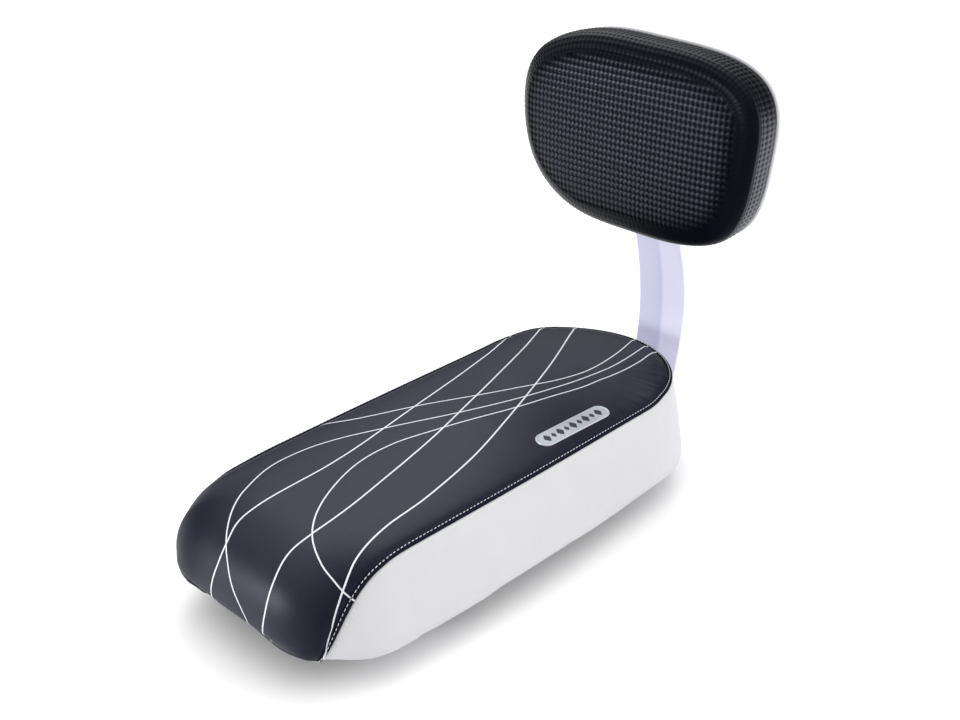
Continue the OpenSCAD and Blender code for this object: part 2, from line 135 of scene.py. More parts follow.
def spline(pts, step=1.0):
    """A centripetal curve through points, sampled about every step mm."""
    p = np.asarray(pts, float)
    p = np.vstack([2 * p[0] - p[1], p, 2 * p[-1] - p[-2]])
    out = []
    for i in range(1, len(p) - 2):
        p0, p1, p2, p3 = p[i - 1:i + 3]
        t0 = 0.0
        t1 = t0 + max(np.linalg.norm(p1 - p0), 1e-6) ** 0.5
        t2 = t1 + max(np.linalg.norm(p2 - p1), 1e-6) ** 0.5
        t3 = t2 + max(np.linalg.norm(p3 - p2), 1e-6) ** 0.5
        n = max(4, int(np.linalg.norm(p2 - p1) / 0.5))
        t = np.linspace(t1, t2, n, endpoint=False)[:, None]
        a1 = (t1 - t) / (t1 - t0) * p0 + (t - t0) / (t1 - t0) * p1
        a2 = (t2 - t) / (t2 - t1) * p1 + (t - t1) / (t2 - t1) * p2
        a3 = (t3 - t) / (t3 - t2) * p2 + (t - t2) / (t3 - t2) * p3
        b1 = (t2 - t) / (t2 - t0) * a1 + (t - t0) / (t2 - t0) * a2
        b2 = (t3 - t) / (t3 - t1) * a2 + (t - t1) / (t3 - t1) * a3
        out.append((t2 - t) / (t2 - t1) * b1 + (t - t1) / (t2 - t1) * b2)
    out.append(p[-2:-1])
    q = np.vstack(out)
    length = np.linalg.norm(np.diff(q, axis=0), axis=1).sum()
    return resample(q, max(4, int(length / step) + 1))


def tangents(p, closed=False):
    if closed:
        t = np.roll(p, -1, 0) - np.roll(p, 1, 0)
    else:
        t = np.gradient(p, axis=0)
    return t / np.maximum(np.linalg.norm(t, axis=1), 1e-9)[:, None]


# ------------------------------------------------------------------ materials
def new_mat(name, color, rough, metallic=0.0, **extra):
    m = bpy.data.materials.new(name)
    m.use_nodes = True
    m.diffuse_color = (*color, 1)
    nt = m.node_tree
    b = nt.nodes["Principled BSDF"]
    b.inputs["Base Color"].default_value = (*color, 1)
    b.inputs["Roughness"].default_value = rough
    b.inputs["Metallic"].default_value = metallic
    for k, v in extra.items():
        b.inputs[k.replace("_", " ")].default_value = v
    return m, nt, b


def node(nt, kind, **props):
    n = nt.nodes.new(kind)
    for k, v in props.items():
        if k in n.inputs:
            n.inputs[k].default_value = v
        else:
            setattr(n, k, v)
    return n


def coords(nt):
    return node(nt, "ShaderNodeTexCoord").outputs["Object"]


def scaled(nt, vec, scale, rot=(0, 0, 0)):
    m = node(nt, "ShaderNodeMapping")
    m.inputs["Scale"].default_value = scale
    m.inputs["Rotation"].default_value = rot
    nt.links.new(vec, m.inputs["Vector"])
    return m.outputs["Vector"]


def noise(nt, vec, scale, detail=3.0, rough=0.55, distort=0.0):
    n = node(nt, "ShaderNodeTexNoise")
    n.inputs["Scale"].default_value = scale
    n.inputs["Detail"].default_value = detail
    n.inputs["Roughness"].default_value = rough
    n.inputs["Distortion"].default_value = distort
    nt.links.new(vec, n.inputs["Vector"])
    return n.outputs["Fac"]


def voronoi(nt, vec, scale, feature="F1", rand=1.0):
    n = node(nt, "ShaderNodeTexVoronoi", feature=feature)
    n.inputs["Scale"].default_value = scale
    n.inputs["Randomness"].default_value = rand
    nt.links.new(vec, n.inputs["Vector"])
    return n.outputs["Distance"]


def math_node(nt, op, a, b=None, c=None, clamp=False):
    n = node(nt, "ShaderNodeMath", operation=op, use_clamp=clamp)
    for i, x in enumerate((a, b, c)):
        if x is None:
            continue
        if isinstance(x, (int, float)):
            n.inputs[i].default_value = x
        else:
            nt.links.new(x, n.inputs[i])
    return n.outputs[0]


def ramp(nt, fac, stops):
    n = node(nt, "ShaderNodeValToRGB")
    e = n.color_ramp.elements
    while len(e) < len(stops):
        e.new(0.5)
    for el, (pos, col) in zip(e, stops):
        el.position = pos
        el.color = (*col, 1) if len(col) == 3 else col
    nt.links.new(fac, n.inputs["Fac"])
    return n.outputs["Color"]


def remap(nt, fac, a, b, c, d):
    n = node(nt, "ShaderNodeMapRange")
    for k, v in (("From Min", a), ("From Max", b), ("To Min", c), ("To Max", d)):
        n.inputs[k].default_value = v
    nt.links.new(fac, n.inputs["Value"])
    return n.outputs["Result"]


def bump(nt, bsdf, height, distance, strength=1.0, prev=None):
    n = node(nt, "ShaderNodeBump")
    n.inputs["Strength"].default_value = strength
    n.inputs["Distance"].default_value = distance
    nt.links.new(height, n.inputs["Height"])
    if prev is not None:
        nt.links.new(prev, n.inputs["Normal"])
    if bsdf is not None:
        nt.links.new(n.outputs["Normal"], bsdf.inputs["Normal"])
    return n.outputs["Normal"]


def attr(nt, name):
    return node(nt, "ShaderNodeAttribute", attribute_name=name).outputs["Fac"]


def leather(name, dark, light, rough, grain, depth, patch=18.0, spec=0.5, **extra):
    """Coated leather: fine pebbled grain, pores, slow changes of tone and gloss."""
    m, nt, b = new_mat(name, light, rough, **extra)
    b.inputs["Specular IOR Level"].default_value = spec
    v = coords(nt)
    warp = noise(nt, v, 260.0, 2.0)
    cells = voronoi(nt, v, grain, "DISTANCE_TO_EDGE")
    cells2 = voronoi(nt, v, grain * 2.3, "F1")
    peb = math_node(nt, "POWER", math_node(nt, "MULTIPLY", cells, 2.2, clamp=True), 0.5)
    fine = noise(nt, v, grain * 3.2, 4.0, 0.6)
    height = math_node(nt, "ADD", math_node(nt, "MULTIPLY", peb, 0.6),
                       math_node(nt, "ADD", math_node(nt, "MULTIPLY", cells2, 0.25), math_node(nt, "MULTIPLY", fine, 0.5)))
    height = math_node(nt, "MULTIPLY", height, remap(nt, warp, 0.3, 0.7, 0.75, 1.15))
    tone = noise(nt, v, patch, 4.0, 0.6)
    mott = noise(nt, v, 420.0, 3.0, 0.7)
    fac = math_node(nt, "ADD", math_node(nt, "MULTIPLY", tone, 0.65), math_node(nt, "MULTIPLY", mott, 0.35))
    nt.links.new(ramp(nt, fac, [(0.3, dark), (0.7, light)]), b.inputs["Base Color"])
    nt.links.new(remap(nt, math_node(nt, "ADD", math_node(nt, "MULTIPLY", tone, 0.5), math_node(nt, "MULTIPLY", fine, 0.5)),
                       0.25, 0.75, rough - 0.05, rough + 0.06), b.inputs["Roughness"])
    first = bump(nt, None, height, depth)
    wrinkle = noise(nt, scaled(nt, v, (1.0, 0.6, 1.0)), 55.0, 3.0, 0.5, 0.4)
    bump(nt, b, wrinkle, depth * 4.0, 0.5, first)
    return m, nt, b


mat_black, nt_b, bs_b = leather("leather_black", (0.0088, 0.0095, 0.0175), (0.0128, 0.0140, 0.0240), 0.40, 900.0, 0.00004, spec=0.22)
bs_b.inputs["Specular Tint"].default_value = (0.84, 0.87, 1.0, 1.0)
mat_white, nt_w, bs_w = leather("leather_white", (0.565, 0.561, 0.582), (0.605, 0.601, 0.622), 0.50, 850.0, 0.00003, spec=0.3)


# the specular level comes from a per-point attribute that holds painted shade near the seam and in the corners
nt_b.links.new(attr(nt_b, "shine_painted_shade"), bs_b.inputs["Specular IOR Level"])


def needle_row(nt, bsdf, at, pitch, depth, width):
    """A row of small needle dimples beside the seam, from the seam_s and seam_d attributes."""
    s, d = attr(nt, "seam_s"), attr(nt, "seam_d")
    across = math_node(nt, "SUBTRACT", 1.0, math_node(nt, "DIVIDE", math_node(nt, "ABSOLUTE", math_node(nt, "SUBTRACT", d, at)), width), clamp=True)
    along = math_node(nt, "MULTIPLY", math_node(nt, "SINE", math_node(nt, "MULTIPLY", s, 2 * math.pi / pitch)), 0.5)
    along = math_node(nt, "POWER", math_node(nt, "ADD", along, 0.5, clamp=True), 3.0)
    h = math_node(nt, "MULTIPLY", math_node(nt, "MULTIPLY", math_node(nt, "SMOOTH_MIN", across, 1.0, 0.1), along), -1.0)
    old = bsdf.inputs["Normal"].links[0].from_socket
    bump(nt, bsdf, h, depth, 1.0, old)


needle_row(nt_w, bs_w, 2.6, 2.8, 0.00022, 1.1)

mat_print, nt_p, bs_p = new_mat("print_white", (0.80, 0.81, 0.85), 0.5)
v = coords(nt_p)
nt_p.links.new(ramp(nt_p, noise(nt_p, v, 700.0, 3.0, 0.7), [(0.25, (0.54, 0.55, 0.60)), (0.6, (0.68, 0.69, 0.73))]), bs_p.inputs["Base Color"])
bump(nt_p, bs_p, noise(nt_p, v, 1500.0, 3.0), 0.00003)

mat_thread, nt_t, bs_t = new_mat("thread_white", (0.80, 0.80, 0.80), 0.7)
v = coords(nt_t)
nt_t.links.new(ramp(nt_t, noise(nt_t, v, 2500.0, 2.0), [(0.3, (0.50, 0.50, 0.50)), (0.7, (0.70, 0.70, 0.70))]), bs_t.inputs["Base Color"])
bump(nt_t, bs_t, noise(nt_t, scaled(nt_t, v, (1, 1, 1)), 6000.0, 2.0), 0.00008)

mat_badge, nt_g, bs_g = new_mat("badge_silver", (0.62, 0.65, 0.70), 0.34, 0.45)
v = coords(nt_g)
nt_g.links.new(ramp(nt_g, noise(nt_g, v, 1800.0, 2.0, 0.7), [(0.3, (0.47, 0.50, 0.55)), (0.7, (0.60, 0.63, 0.68))]), bs_g.inputs["Base Color"])
nt_g.links.new(remap(nt_g, noise(nt_g, v, 60.0, 3.0), 0.3, 0.7, 0.28, 0.42), bs_g.inputs["Roughness"])
bump(nt_g, bs_g, noise(nt_g, v, 2600.0, 2.0), 0.00002)

mat_ink, nt_i, bs_i = new_mat("badge_ink", (0.02, 0.021, 0.026), 0.45)
v = coords(nt_i)
nt_i.links.new(ramp(nt_i, noise(nt_i, v, 900.0, 3.0), [(0.3, (0.014, 0.015, 0.019)), (0.7, (0.032, 0.034, 0.042))]), bs_i.inputs["Base Color"])
bump(nt_i, bs_i, noise(nt_i, v, 1500.0, 3.0), 0.00003)

mat_emb, nt_e, bs_e = leather("leather_embossed", (0.0012, 0.0014, 0.0027), (0.0026, 0.0031, 0.0056), 0.34, 2400.0, 0.00002, spec=0.32)
# the specular level is a per-point attribute with painted highlights on chosen sides and painted shade in the pits
nt_e.links.new(attr(nt_e, "painted_gloss"), bs_e.inputs["Specular IOR Level"])
bs_e.inputs["Specular Tint"].default_value = (0.74, 0.81, 1.0, 1.0)

mat_bar, nt_r, bs_r = new_mat("paint_lavender", (0.60, 0.60, 0.76), 0.36, Coat_Weight=0.25, Coat_Roughness=0.18)
v = coords(nt_r)
# painted light: the bar gets a darker copy of its paint colour on the left half and a lighter, lit copy on the right
# half
lit_shaded_mix = node(nt_r, "ShaderNodeMix", data_type="RGBA")
nt_r.links.new(attr(nt_r, "half"), lit_shaded_mix.inputs["Factor"])
nt_r.links.new(ramp(nt_r, noise(nt_r, v, 14.0, 4.0, 0.6), [(0.3, (0.560, 0.565, 0.755)), (0.7, (0.600, 0.605, 0.790))]), lit_shaded_mix.inputs[6])
nt_r.links.new(ramp(nt_r, noise(nt_r, v, 11.0, 4.0, 0.6), [(0.3, (0.745, 0.735, 0.915)), (0.7, (0.790, 0.780, 0.945))]), lit_shaded_mix.inputs[7])
nt_r.links.new(lit_shaded_mix.outputs[2], bs_r.inputs["Base Color"])
nt_r.links.new(remap(nt_r, noise(nt_r, v, 160.0, 3.0), 0.3, 0.7, 0.31, 0.42), bs_r.inputs["Roughness"])
bump(nt_r, bs_r, noise(nt_r, v, 520.0, 2.0, 0.5), 0.00006)

mat_shell, nt_s, bs_s = new_mat("plastic_white", (0.80, 0.80, 0.84), 0.42)
v = coords(nt_s)
nt_s.links.new(ramp(nt_s, noise(nt_s, v, 10.0, 4.0, 0.6), [(0.3, (0.655, 0.655, 0.695)), (0.7, (0.705, 0.705, 0.740))]), bs_s.inputs["Base Color"])
nt_s.links.new(remap(nt_s, noise(nt_s, v, 220.0, 3.0), 0.3, 0.7, 0.36, 0.50), bs_s.inputs["Roughness"])
bump(nt_s, bs_s, math_node(nt_s, "ADD", voronoi(nt_s, v, 1300.0, "SMOOTH_F1"), noise(nt_s, v, 2600.0, 2.0)), 0.00004)


def metal(name, dark, light, rough, grain=900.0, **extra):
    m, nt, b = new_mat(name, light, rough, 1.0, **extra)
    v = coords(nt)
    spang = voronoi(nt, v, grain, "F1")
    n1 = noise(nt, v, 90.0, 4.0, 0.65)
    fac = math_node(nt, "ADD", math_node(nt, "MULTIPLY", n1, 0.6), math_node(nt, "MULTIPLY", spang, 0.4))
    nt.links.new(ramp(nt, fac, [(0.25, dark), (0.7, light)]), b.inputs["Base Color"])
    nt.links.new(remap(nt, n1, 0.3, 0.7, rough - 0.07, rough + 0.1), b.inputs["Roughness"])
    bump(nt, b, math_node(nt, "ADD", noise(nt, v, 1400.0, 3.0), spang), 0.00004)
    return m


mat_zinc = metal("steel_zinc", (0.50, 0.51, 0.53), (0.70, 0.71, 0.72), 0.30)
mat_plate = metal("steel_plate", (0.42, 0.43, 0.45), (0.60, 0.61, 0.63), 0.36, 350.0)
mat_spring = metal("steel_spring", (0.30, 0.31, 0.32), (0.46, 0.47, 0.49), 0.34)
mat_yellow = metal("zinc_yellow", (0.55, 0.42, 0.20), (0.72, 0.60, 0.34), 0.33)
mat_staple = metal("staple_steel", (0.48, 0.48, 0.50), (0.66, 0.66, 0.68), 0.28)

mat_ply, nt_y, bs_y = new_mat("plywood", (0.50, 0.34, 0.19), 0.65)
v = coords(nt_y)
rings = noise(nt_y, scaled(nt_y, v, (14.0, 1.1, 30.0)), 6.0, 5.0, 0.6, 0.5)
ply = node(nt_y, "ShaderNodeTexWave", wave_type="BANDS", bands_direction="Z")
ply.inputs["Scale"].default_value = 110.0
ply.inputs["Distortion"].default_value = 0.6
nt_y.links.new(v, ply.inputs["Vector"])
fac = math_node(nt_y, "ADD", math_node(nt_y, "MULTIPLY", rings, 0.7), math_node(nt_y, "MULTIPLY", ply.outputs["Fac"], 0.3))
nt_y.links.new(ramp(nt_y, fac, [(0.2, (0.30, 0.18, 0.09)), (0.5, (0.50, 0.34, 0.19)), (0.8, (0.62, 0.46, 0.28))]), bs_y.inputs["Base Color"])
bump(nt_y, bs_y, fac, 0.0002)

mat_foam, nt_f, bs_f = new_mat("foam_cream", (0.80, 0.76, 0.60), 0.9)
v = coords(nt_f)
cell = voronoi(nt_f, v, 1400.0, "F1")
nt_f.links.new(ramp(nt_f, cell, [(0.1, (0.62, 0.58, 0.44)), (0.6, (0.84, 0.80, 0.66))]), bs_f.inputs["Base Color"])
bump(nt_f, bs_f, cell, 0.0003)

mat_liner, nt_l, bs_l = new_mat("liner_felt", (0.02, 0.02, 0.022), 0.92, Sheen_Weight=0.25, Sheen_Roughness=0.5)
v = coords(nt_l)
fib = noise(nt_l, scaled(nt_l, v, (1.0, 0.18, 1.0)), 1500.0, 4.0, 0.7, 1.5)
dots = voronoi(nt_l, v, 520.0, "F1", 0.0)
nt_l.links.new(ramp(nt_l, fib, [(0.3, (0.010, 0.010, 0.011)), (0.7, (0.045, 0.045, 0.048))]), bs_l.inputs["Base Color"])
bump(nt_l, bs_l, math_node(nt_l, "ADD", fib, math_node(nt_l, "MULTIPLY", dots, 0.8)), 0.00025)

mat_lining, nt_n, bs_n = new_mat("leather_back", (0.018, 0.018, 0.020), 0.85)
v = coords(nt_n)
wv = noise(nt_n, scaled(nt_n, v, (1, 1, 1)), 1800.0, 3.0, 0.7)
nt_n.links.new(ramp(nt_n, wv, [(0.3, (0.008, 0.008, 0.009)), (0.7, (0.05, 0.05, 0.055))]), bs_n.inputs["Base Color"])
bump(nt_n, bs_n, wv, 0.0002)

# ------------------------------------------------------------------ the seat's form
HW, RF, B0, B1, HS, IN1, RI, H = 77.44, 47.0, 8.0, 2.98, 48.96, 10.65, 3.84, 56.5
NF, NS, AF, AR, KS0, KS1, PE = 4.0, 1.85, 62.0, 88.0, -169.65, -100.36, 4.77
FB, FP, QQ, WB, Y0, Y1 = 7.43, 0.58, 0.48, 0.98, -178.27, 180.0
RR = HW - 0.1


def outline(n, fine_front=True):
    """Closed ring of n plan points [x, y, bow], from the front middle over +x to the rear and back."""
    p = [(x, Y0) for x in np.linspace(0, HW - RF, 40)[:-1]]
    p += [(HW - RF + RF * np.cos(t), Y0 + RF + RF * np.sin(t)) for t in np.linspace(-np.pi / 2, 0, 160)[:-1]]
    p += [(HW, y) for y in np.linspace(Y0 + RF, Y1 - RR, 160)[:-1]]
    p += [(HW - RR + RR * np.cos(t), Y1 - RR + RR * np.sin(t)) for t in np.linspace(0, np.pi / 2, 200)]
    p += [(0.0, Y1)]
    p = np.array(p)
    bf = (1 - (p[:, 1] / 180.0) ** 2) * np.clip(p[:, 0] / HW, 0, 1)
    q = np.c_[p[:, 0] + B0 * bf, p[:, 1], bf]
    h = resample(q, n // 2 + 1)
    left = h[1:-1][::-1].copy()
    left[:, 0] *= -1
    return np.vstack([h, left])


class Seat:
    """Values of the seat's form for each point of a ring."""

    def __init__(self, ring):
        self.b = ring[:, :2]
        self.bf = ring[:, 2]
        x, y = self.b.T
        t = np.clip((y - KS0) / (KS1 - KS0), 0, 1)
        self.zs = HS * (1 - (1 - t) ** PE)
        self.my = (AF - AR) / 2 + (360 - AF - AR) / 2 * np.sin(np.pi / 2 * np.clip(y, -180, 180) / 180)
        d = np.c_[-x, self.my - y]
        self.a = np.linalg.norm(d, axis=1)
        self.d = d / self.a[:, None]
        side = IN1 + (B0 - B1) * self.bf
        c = np.clip(abs(x) / HW, 0, 1)
        self.lean = np.where(y > 0, side * c ** 2 + RI * (1 - c ** 2), side) * self.zs / HS
        self.fr = np.clip(1 - self.zs / HS, 0, 1)
        self.n = NS + (NF - NS) * self.fr ** QQ
        self.tuck = np.interp(x, [-58, -44, 0, 18, 28, 45, 52], [0, 1, 1, 1, 0.8, 0.2, 0]) * (y < -150)

    def bulge(self, z):
        f = 1 - self.tuck * (1 - smoothstep(z, 2.5, 13.0))
        return FB * self.fr * f * np.sin(np.pi * np.clip(z / H, 0, 1) ** FP)

    def wall(self, s):
        z = self.zs * s
        i = self.lean * s - WB * np.sin(np.pi * s) * self.zs / HS - self.bulge(z)
        return np.c_[self.b + self.d * i[:, None], z]

    def top(self, u):
        f = np.pi / 2 * u ** 1.15
        cx, sx = (np.cos(f), np.sin(f)) if u < 1 else (0.0, 1.0)
        z = self.zs + (H - self.zs) * sx ** (2 / self.n)
        i = self.lean + (self.a - self.lean) * (1 - abs(cx) ** (2 / self.n)) - self.bulge(z) * cx
        return np.c_[self.b + self.d * i[:, None], z]


def cut_rows(curves, dist):
    """curves: (m, n, 3) profiles. dist: (r, n) lengths along them. Returns (r, n, 3)."""
    m, n, _ = curves.shape
    seg = np.linalg.norm(np.diff(curves, axis=0), axis=2)
    cum = np.vstack([np.zeros(n), np.cumsum(seg, axis=0)])
    out = np.zeros((dist.shape[0], n, 3))
    for k in range(n):
        for i in range(3):
            out[:, k, i] = np.interp(dist[:, k], cum[:, k], curves[:, k, i])
    return out


def normals_of(rows, closed=True):
    """Unit outward normals of a grid of rows (r, n, 3), ring closed."""
    du = np.roll(rows, -1, 1) - np.roll(rows, 1, 1) if closed else np.gradient(rows, axis=1)
    dv = np.gradient(rows, axis=0)
    nn = np.cross(du, dv)
    ln = np.linalg.norm(nn, axis=2, keepdims=True)
    return nn / np.maximum(ln, 1e-9)


N = 720
ring = outline(N)
seat = Seat(ring)
RX, RY = ring[:, 0], ring[:, 1]
seam_pts = seat.wall(1.0)
on_seam = seat.zs > 0.05

# A fine seam line for distances: from the near front end over the rear to the far front end.
fine = outline(5200)
sf = Seat(fine)
sp = sf.wall(1.0)[sf.zs > 0.0]
SEAM = sp                       # index order runs from +x front end, round the rear, to -x front end
SEAM_L = np.r_[0, np.cumsum(np.linalg.norm(np.diff(SEAM, axis=0), axis=1))]


def kd_of(pts):
    from mathutils.kdtree import KDTree
    kd = KDTree(len(pts))
    for i, p in enumerate(pts):
        kd.insert(p, i)
    kd.balance()
    return kd


SEAM_KD = kd_of(SEAM)


def seam_sd(p):
    """(length along the seam, distance to it) for points."""
    s, d = np.zeros(len(p)), np.zeros(len(p))
    for i, q in enumerate(p):
        _, j, dist = SEAM_KD.find(q)
        s[i], d[i] = SEAM_L[j], dist
    return s, d


def front_arch(x):
    """How far the front's bottom edge stands above the seat's bottom."""
    return np.interp(x, [-60, -15, -7.7, 0, 7.7, 15.5, 23, 31, 39, 46, 53, 60, 66, 71, 75, 78],
                     [0.3, 0.25, 1.5, 2.75, 2.5, 1.5, 0.5, 0.25, 0.0, -0.5, 1.25, 1.75, 1.5, 0.5, -0.4, -0.9])


def side_low(x, y):
    """The same for the bottom edge of the side band."""
    near = front_arch(x) * (x > 0) * (y < -120)
    return near + np.interp(y, [-130, -113, -105, -67, -55, -20, 3, 25, 50, 70], [0, -0.4, -1.0, -1.0, 0.3, 0.4, 0.3, -0.5, -0.5, 0])


def lift(x):
    """The short stretch of the front edge that gapes."""
    return 4.6 * np.exp(-((x + 24) / 7.5) ** 2)


def pucker(s, d):
    """Small gathers square to the seam, at the rear corners and a little elsewhere."""
    tot = SEAM_L[-1]
    mid = tot / 2
    near = np.exp(-((s - (mid - 92)) / 46) ** 2)
    far = np.exp(-((s - (mid + 92)) / 46) ** 2)
    soft = 0.16
    w = soft + 1.0 * near + 0.85 * far
    g = np.random.default_rng(11)
    h = np.zeros(len(s))
    for lam, amp in ((9.0, 0.5), (13.0, 0.6), (6.3, 0.25), (21.0, 0.5)):
        ph = g.uniform(0, 6.28)
        h += amp * np.sin(2 * np.pi * s / lam + ph + 1.3 * np.sin(2 * np.pi * s / (lam * 3.7) + ph * 2))
    h = h / 1.85
    fall = smoothstep(d, 3.6, 6.5) * np.exp(-np.clip(d - 6.5, 0, None) / 8.0)
    return 0.34 * w * h * fall


# ---- top panel: outer skin rows
dense_u = np.linspace(0, 1, 150) ** 1.0
curves = np.stack([seat.top(u) for u in dense_u])
zb = np.where(seat.zs < 1.2, front_arch(RX) + lift(RX), 0.0) * (RY < -150)
seg = np.linalg.norm(np.diff(curves, axis=0), axis=2)
cum = np.vstack([np.zeros(N), np.cumsum(seg, axis=0)])
full = cum[-1]
start = np.zeros(N)
front_k = seat.zs < 1.2
R_EDGE = 1.25
for k in range(N):
    if front_k[k]:
        start[k] = np.interp(zb[k] + R_EDGE * float(smoothstep(-seat.zs[k], -1.2, 0.0)), curves[:, k, 2], cum[:, k])
near_d = np.array([0, .5, 1.0, 1.6, 2.3, 3.0, 3.7, 4.4, 5.2, 6.2, 7.4, 8.8, 10.4, 12.2, 14.0])
far_f = np.linspace(0, 1, 44)[1:]
dist = np.vstack([start + near_d[:, None], start + 14.0 + (full - start - 14.0) * far_f[:, None]])
outer = cut_rows(curves, dist)
nrm = normals_of(outer)
nrm[-1] = (0, 0, 1)
nrm[nrm[..., 2] < -0.6] *= 1
if nrm[8, N // 4, 0] < 0:
    nrm = -nrm
    nrm[-1] = (0, 0, 1)
flat = outer.reshape(-1, 3)
s_, d_ = seam_sd(flat)
d_ = np.where(np.repeat((seat.zs < 0.0001)[None], len(outer), 0).ravel() & (d_ > 30), 60.0, d_)
puff = 0.28 * np.exp(-((d_ - 8.5) / 4.0) ** 2)
low = -0.75 * (1 - smoothstep(d_, 4.2, 6.0))
soft = 0.30 * wave_noise(flat, 3, 95.0) * smoothstep(d_, 4, 22)
height = low + puff + soft + pucker(s_, d_)
# the edge of the front is a little uneven, as folded leather is
frontness = smoothstep(-flat[:, 1], 165, 180) * (1 - smoothstep(flat[:, 2], 4, 22))
height += frontness * 0.25 * wave_noise(flat, 5, 34.0)
outer_d = (flat + nrm.reshape(-1, 3) * height[:, None]).reshape(outer.shape)
# the middle line belongs to both halves
last = outer_d[-1]
for k in range(1, N // 2):
    m_ = (last[k] + last[N - k]) / 2
    last[k] = last[N - k] = m_


# ---- bottom fold of the front leather: rounds the edge, runs in under the board
def fold_rows(edge, aim, zbot, width, sag, flat_from=6.0):
    """Rows from an edge point inwards: edge (n,3) is the lowest point of the skin."""
    rows = []
    for a in (25, 50, 75):
        t = math.radians(a)
        q = edge.copy()
        q[:, :2] += aim * (R_EDGE * (1 - math.cos(t)))
        q[:, 2] = zbot + (edge[:, 2] - zbot) * (1 - math.sin(t))
        rows.append(q)
    for w in (1.6, 3.0, 4.6, flat_from + 1, 9.5, 13.0, 16.5, width):
        q = edge.copy()
        q[:, :2] += aim * w
        f = 1 - smoothstep(w, 1.2, 3.6)                  # down flat before the board begins
        q[:, 2] = zbot * f + sag * math.sin(math.pi * min(w / width, 1.0)) ** 0.7
        rows.append(q)
    return rows


front_sel = np.where(front_k)[0]
# order the front points from -x to +x
front_sel = np.array(sorted(front_sel, key=lambda k: RX[k]))
edge0 = outer_d[0, front_sel].copy()
aim = seat.d[front_sel]
xs = RX[front_sel]
sagf = -0.18 * np.abs(wave_noise(np.c_[xs, xs * 0], 21, 16.0, 2))
endw = smoothstep(np.arange(len(xs)), 0, 6) * smoothstep(np.arange(len(xs))[::-1], 0, 6)
fr_rows = fold_rows(edge0, aim, zb[front_sel], 22.5, sagf * endw, 6.0)
fr_in = [r + np.array([0, 0, 1.0]) for r in fr_rows]

# inner skin, 1.1 mm inside
inner_idx = [0, 3, 6, 9, 12, 14] + list(range(18, len(outer_d), 6)) + [len(outer_d) - 1]
inner = outer_d[inner_idx] - nrm[inner_idx] * 1.1
inner[-1, :, 2] = outer_d[-1, :, 2] - 1.1
inner[-1, :, :2] = outer_d[-1, :, :2]

verts = [outer_d.reshape(-1, 3), inner.reshape(-1, 3)]
no, ni = outer_d.shape[0], inner.shape[0]
faces = [grid_faces(no, N), grid_faces(ni, N, start=no * N, flip=True)]
b0 = no * N
ks = np.arange(N)
rim = np.stack([ks, b0 + ks, b0 + (ks + 1) % N, (ks + 1) % N], -1)


def close_spine(base, flip):
    f = []
    for k in range(0, N // 2):
        a, b = base + k, base + (k + 1) % N
        c, d = base + (N - k) % N, base + (N - k - 1) % N
        if a == c:
            tri = [a, b, d]
        elif b == d:
            tri = [a, b, c]
        else:
            tri = [a, b, d, c]
        f.append(tri[::-1] if flip else tri)
    return f


faces_l = np.vstack([faces[0], faces[1], rim]).tolist()
top_panel = add_mesh("seat_top_panel", np.vstack(verts), faces_l, [mat_black, mat_lining])
import bmesh
bm = bmesh.new()
bm.from_mesh(top_panel.data)
bmesh.ops.remove_doubles(bm, verts=bm.verts, dist=2e-7)
bm.verts.ensure_lookup_table()
# weld the middle line of the two halves
mid_v = [v for v in bm.verts if abs(v.co.x) < 1e-7]
bmesh.ops.remove_doubles(bm, verts=mid_v, dist=4e-6)
bmesh.ops.recalc_face_normals(bm, faces=bm.faces)
bm.to_mesh(top_panel.data)
bm.free()
top_panel.data.polygons.foreach_set("use_smooth", np.ones(len(top_panel.data.polygons), bool))


def co_of(ob):
    c = np.zeros(len(ob.data.vertices) * 3, np.float32)
    ob.data.vertices.foreach_get("co", c)
    return c.reshape(-1, 3) * 1000.0 - SHIFT


pc = co_of(top_panel)
s_, d_ = seam_sd(pc)
put_attr(top_panel, "seam_s", s_)
put_attr(top_panel, "seam_d", d_)
# painted shade: the specular level is lowered near the seam and at the front-left, front-right and rear-right corners,
# so these read darker as if shaded
painted_shade = 0.62 * np.exp(-(d_ / 13.0) ** 2) + 0.8 * smoothstep(-pc[:, 0], 10, 45) * smoothstep(-pc[:, 1], 135, 170)
painted_shade += 0.55 * smoothstep(pc[:, 0], 30, 62) * smoothstep(-pc[:, 1], 120, 160)
painted_shade += 0.8 * smoothstep(pc[:, 0], 15, 50) * smoothstep(pc[:, 1], 105, 150)
put_attr(top_panel, "shine_painted_shade", 0.23 * (1 - np.clip(painted_shade, 0, 0.8)))


def band_mesh(name, rows_out, rows_in, mats):
    """A closed folded sheet from open rows: rows_out (r, n, 3) and rows_in, same size."""
    r, n, _ = rows_out.shape
    v = np.vstack([rows_out.reshape(-1, 3), rows_in.reshape(-1, 3)])
    o = r * n
    f = [grid_faces(r, n, closed=False), grid_faces(r, n, start=o, closed=False, flip=True)]
    k = np.arange(n - 1)
    f.append(np.stack([k, o + k, o + k + 1, k + 1], -1))
    e = (r - 1) * n
    f.append(np.stack([e + k, e + k + 1, o + e + k + 1, o + e + k], -1))
    j = np.arange(r - 1) * n
    f.append(np.stack([j, j + n, o + j + n, o + j], -1))
    q = j + n - 1
    f.append(np.stack([q, o + q, o + q + n, q + n], -1))
    return add_mesh(name, v, np.vstack(f), mats)


fold_o = np.stack([edge0] + fr_rows)
fold_i = np.stack([edge0 + np.c_[aim * 1.1, np.full(len(aim), 0.35)]] + [q + np.r_[0, 0, 1.0] for q in fr_rows])
front_fold = band_mesh("front_fold", fold_o, fold_i, [mat_black])

# ---- white side band
bk = np.where(seat.zs > 0.3)[0]            # from the near front end round the rear to the far front end
nb = len(bk)


class Part:
    pass


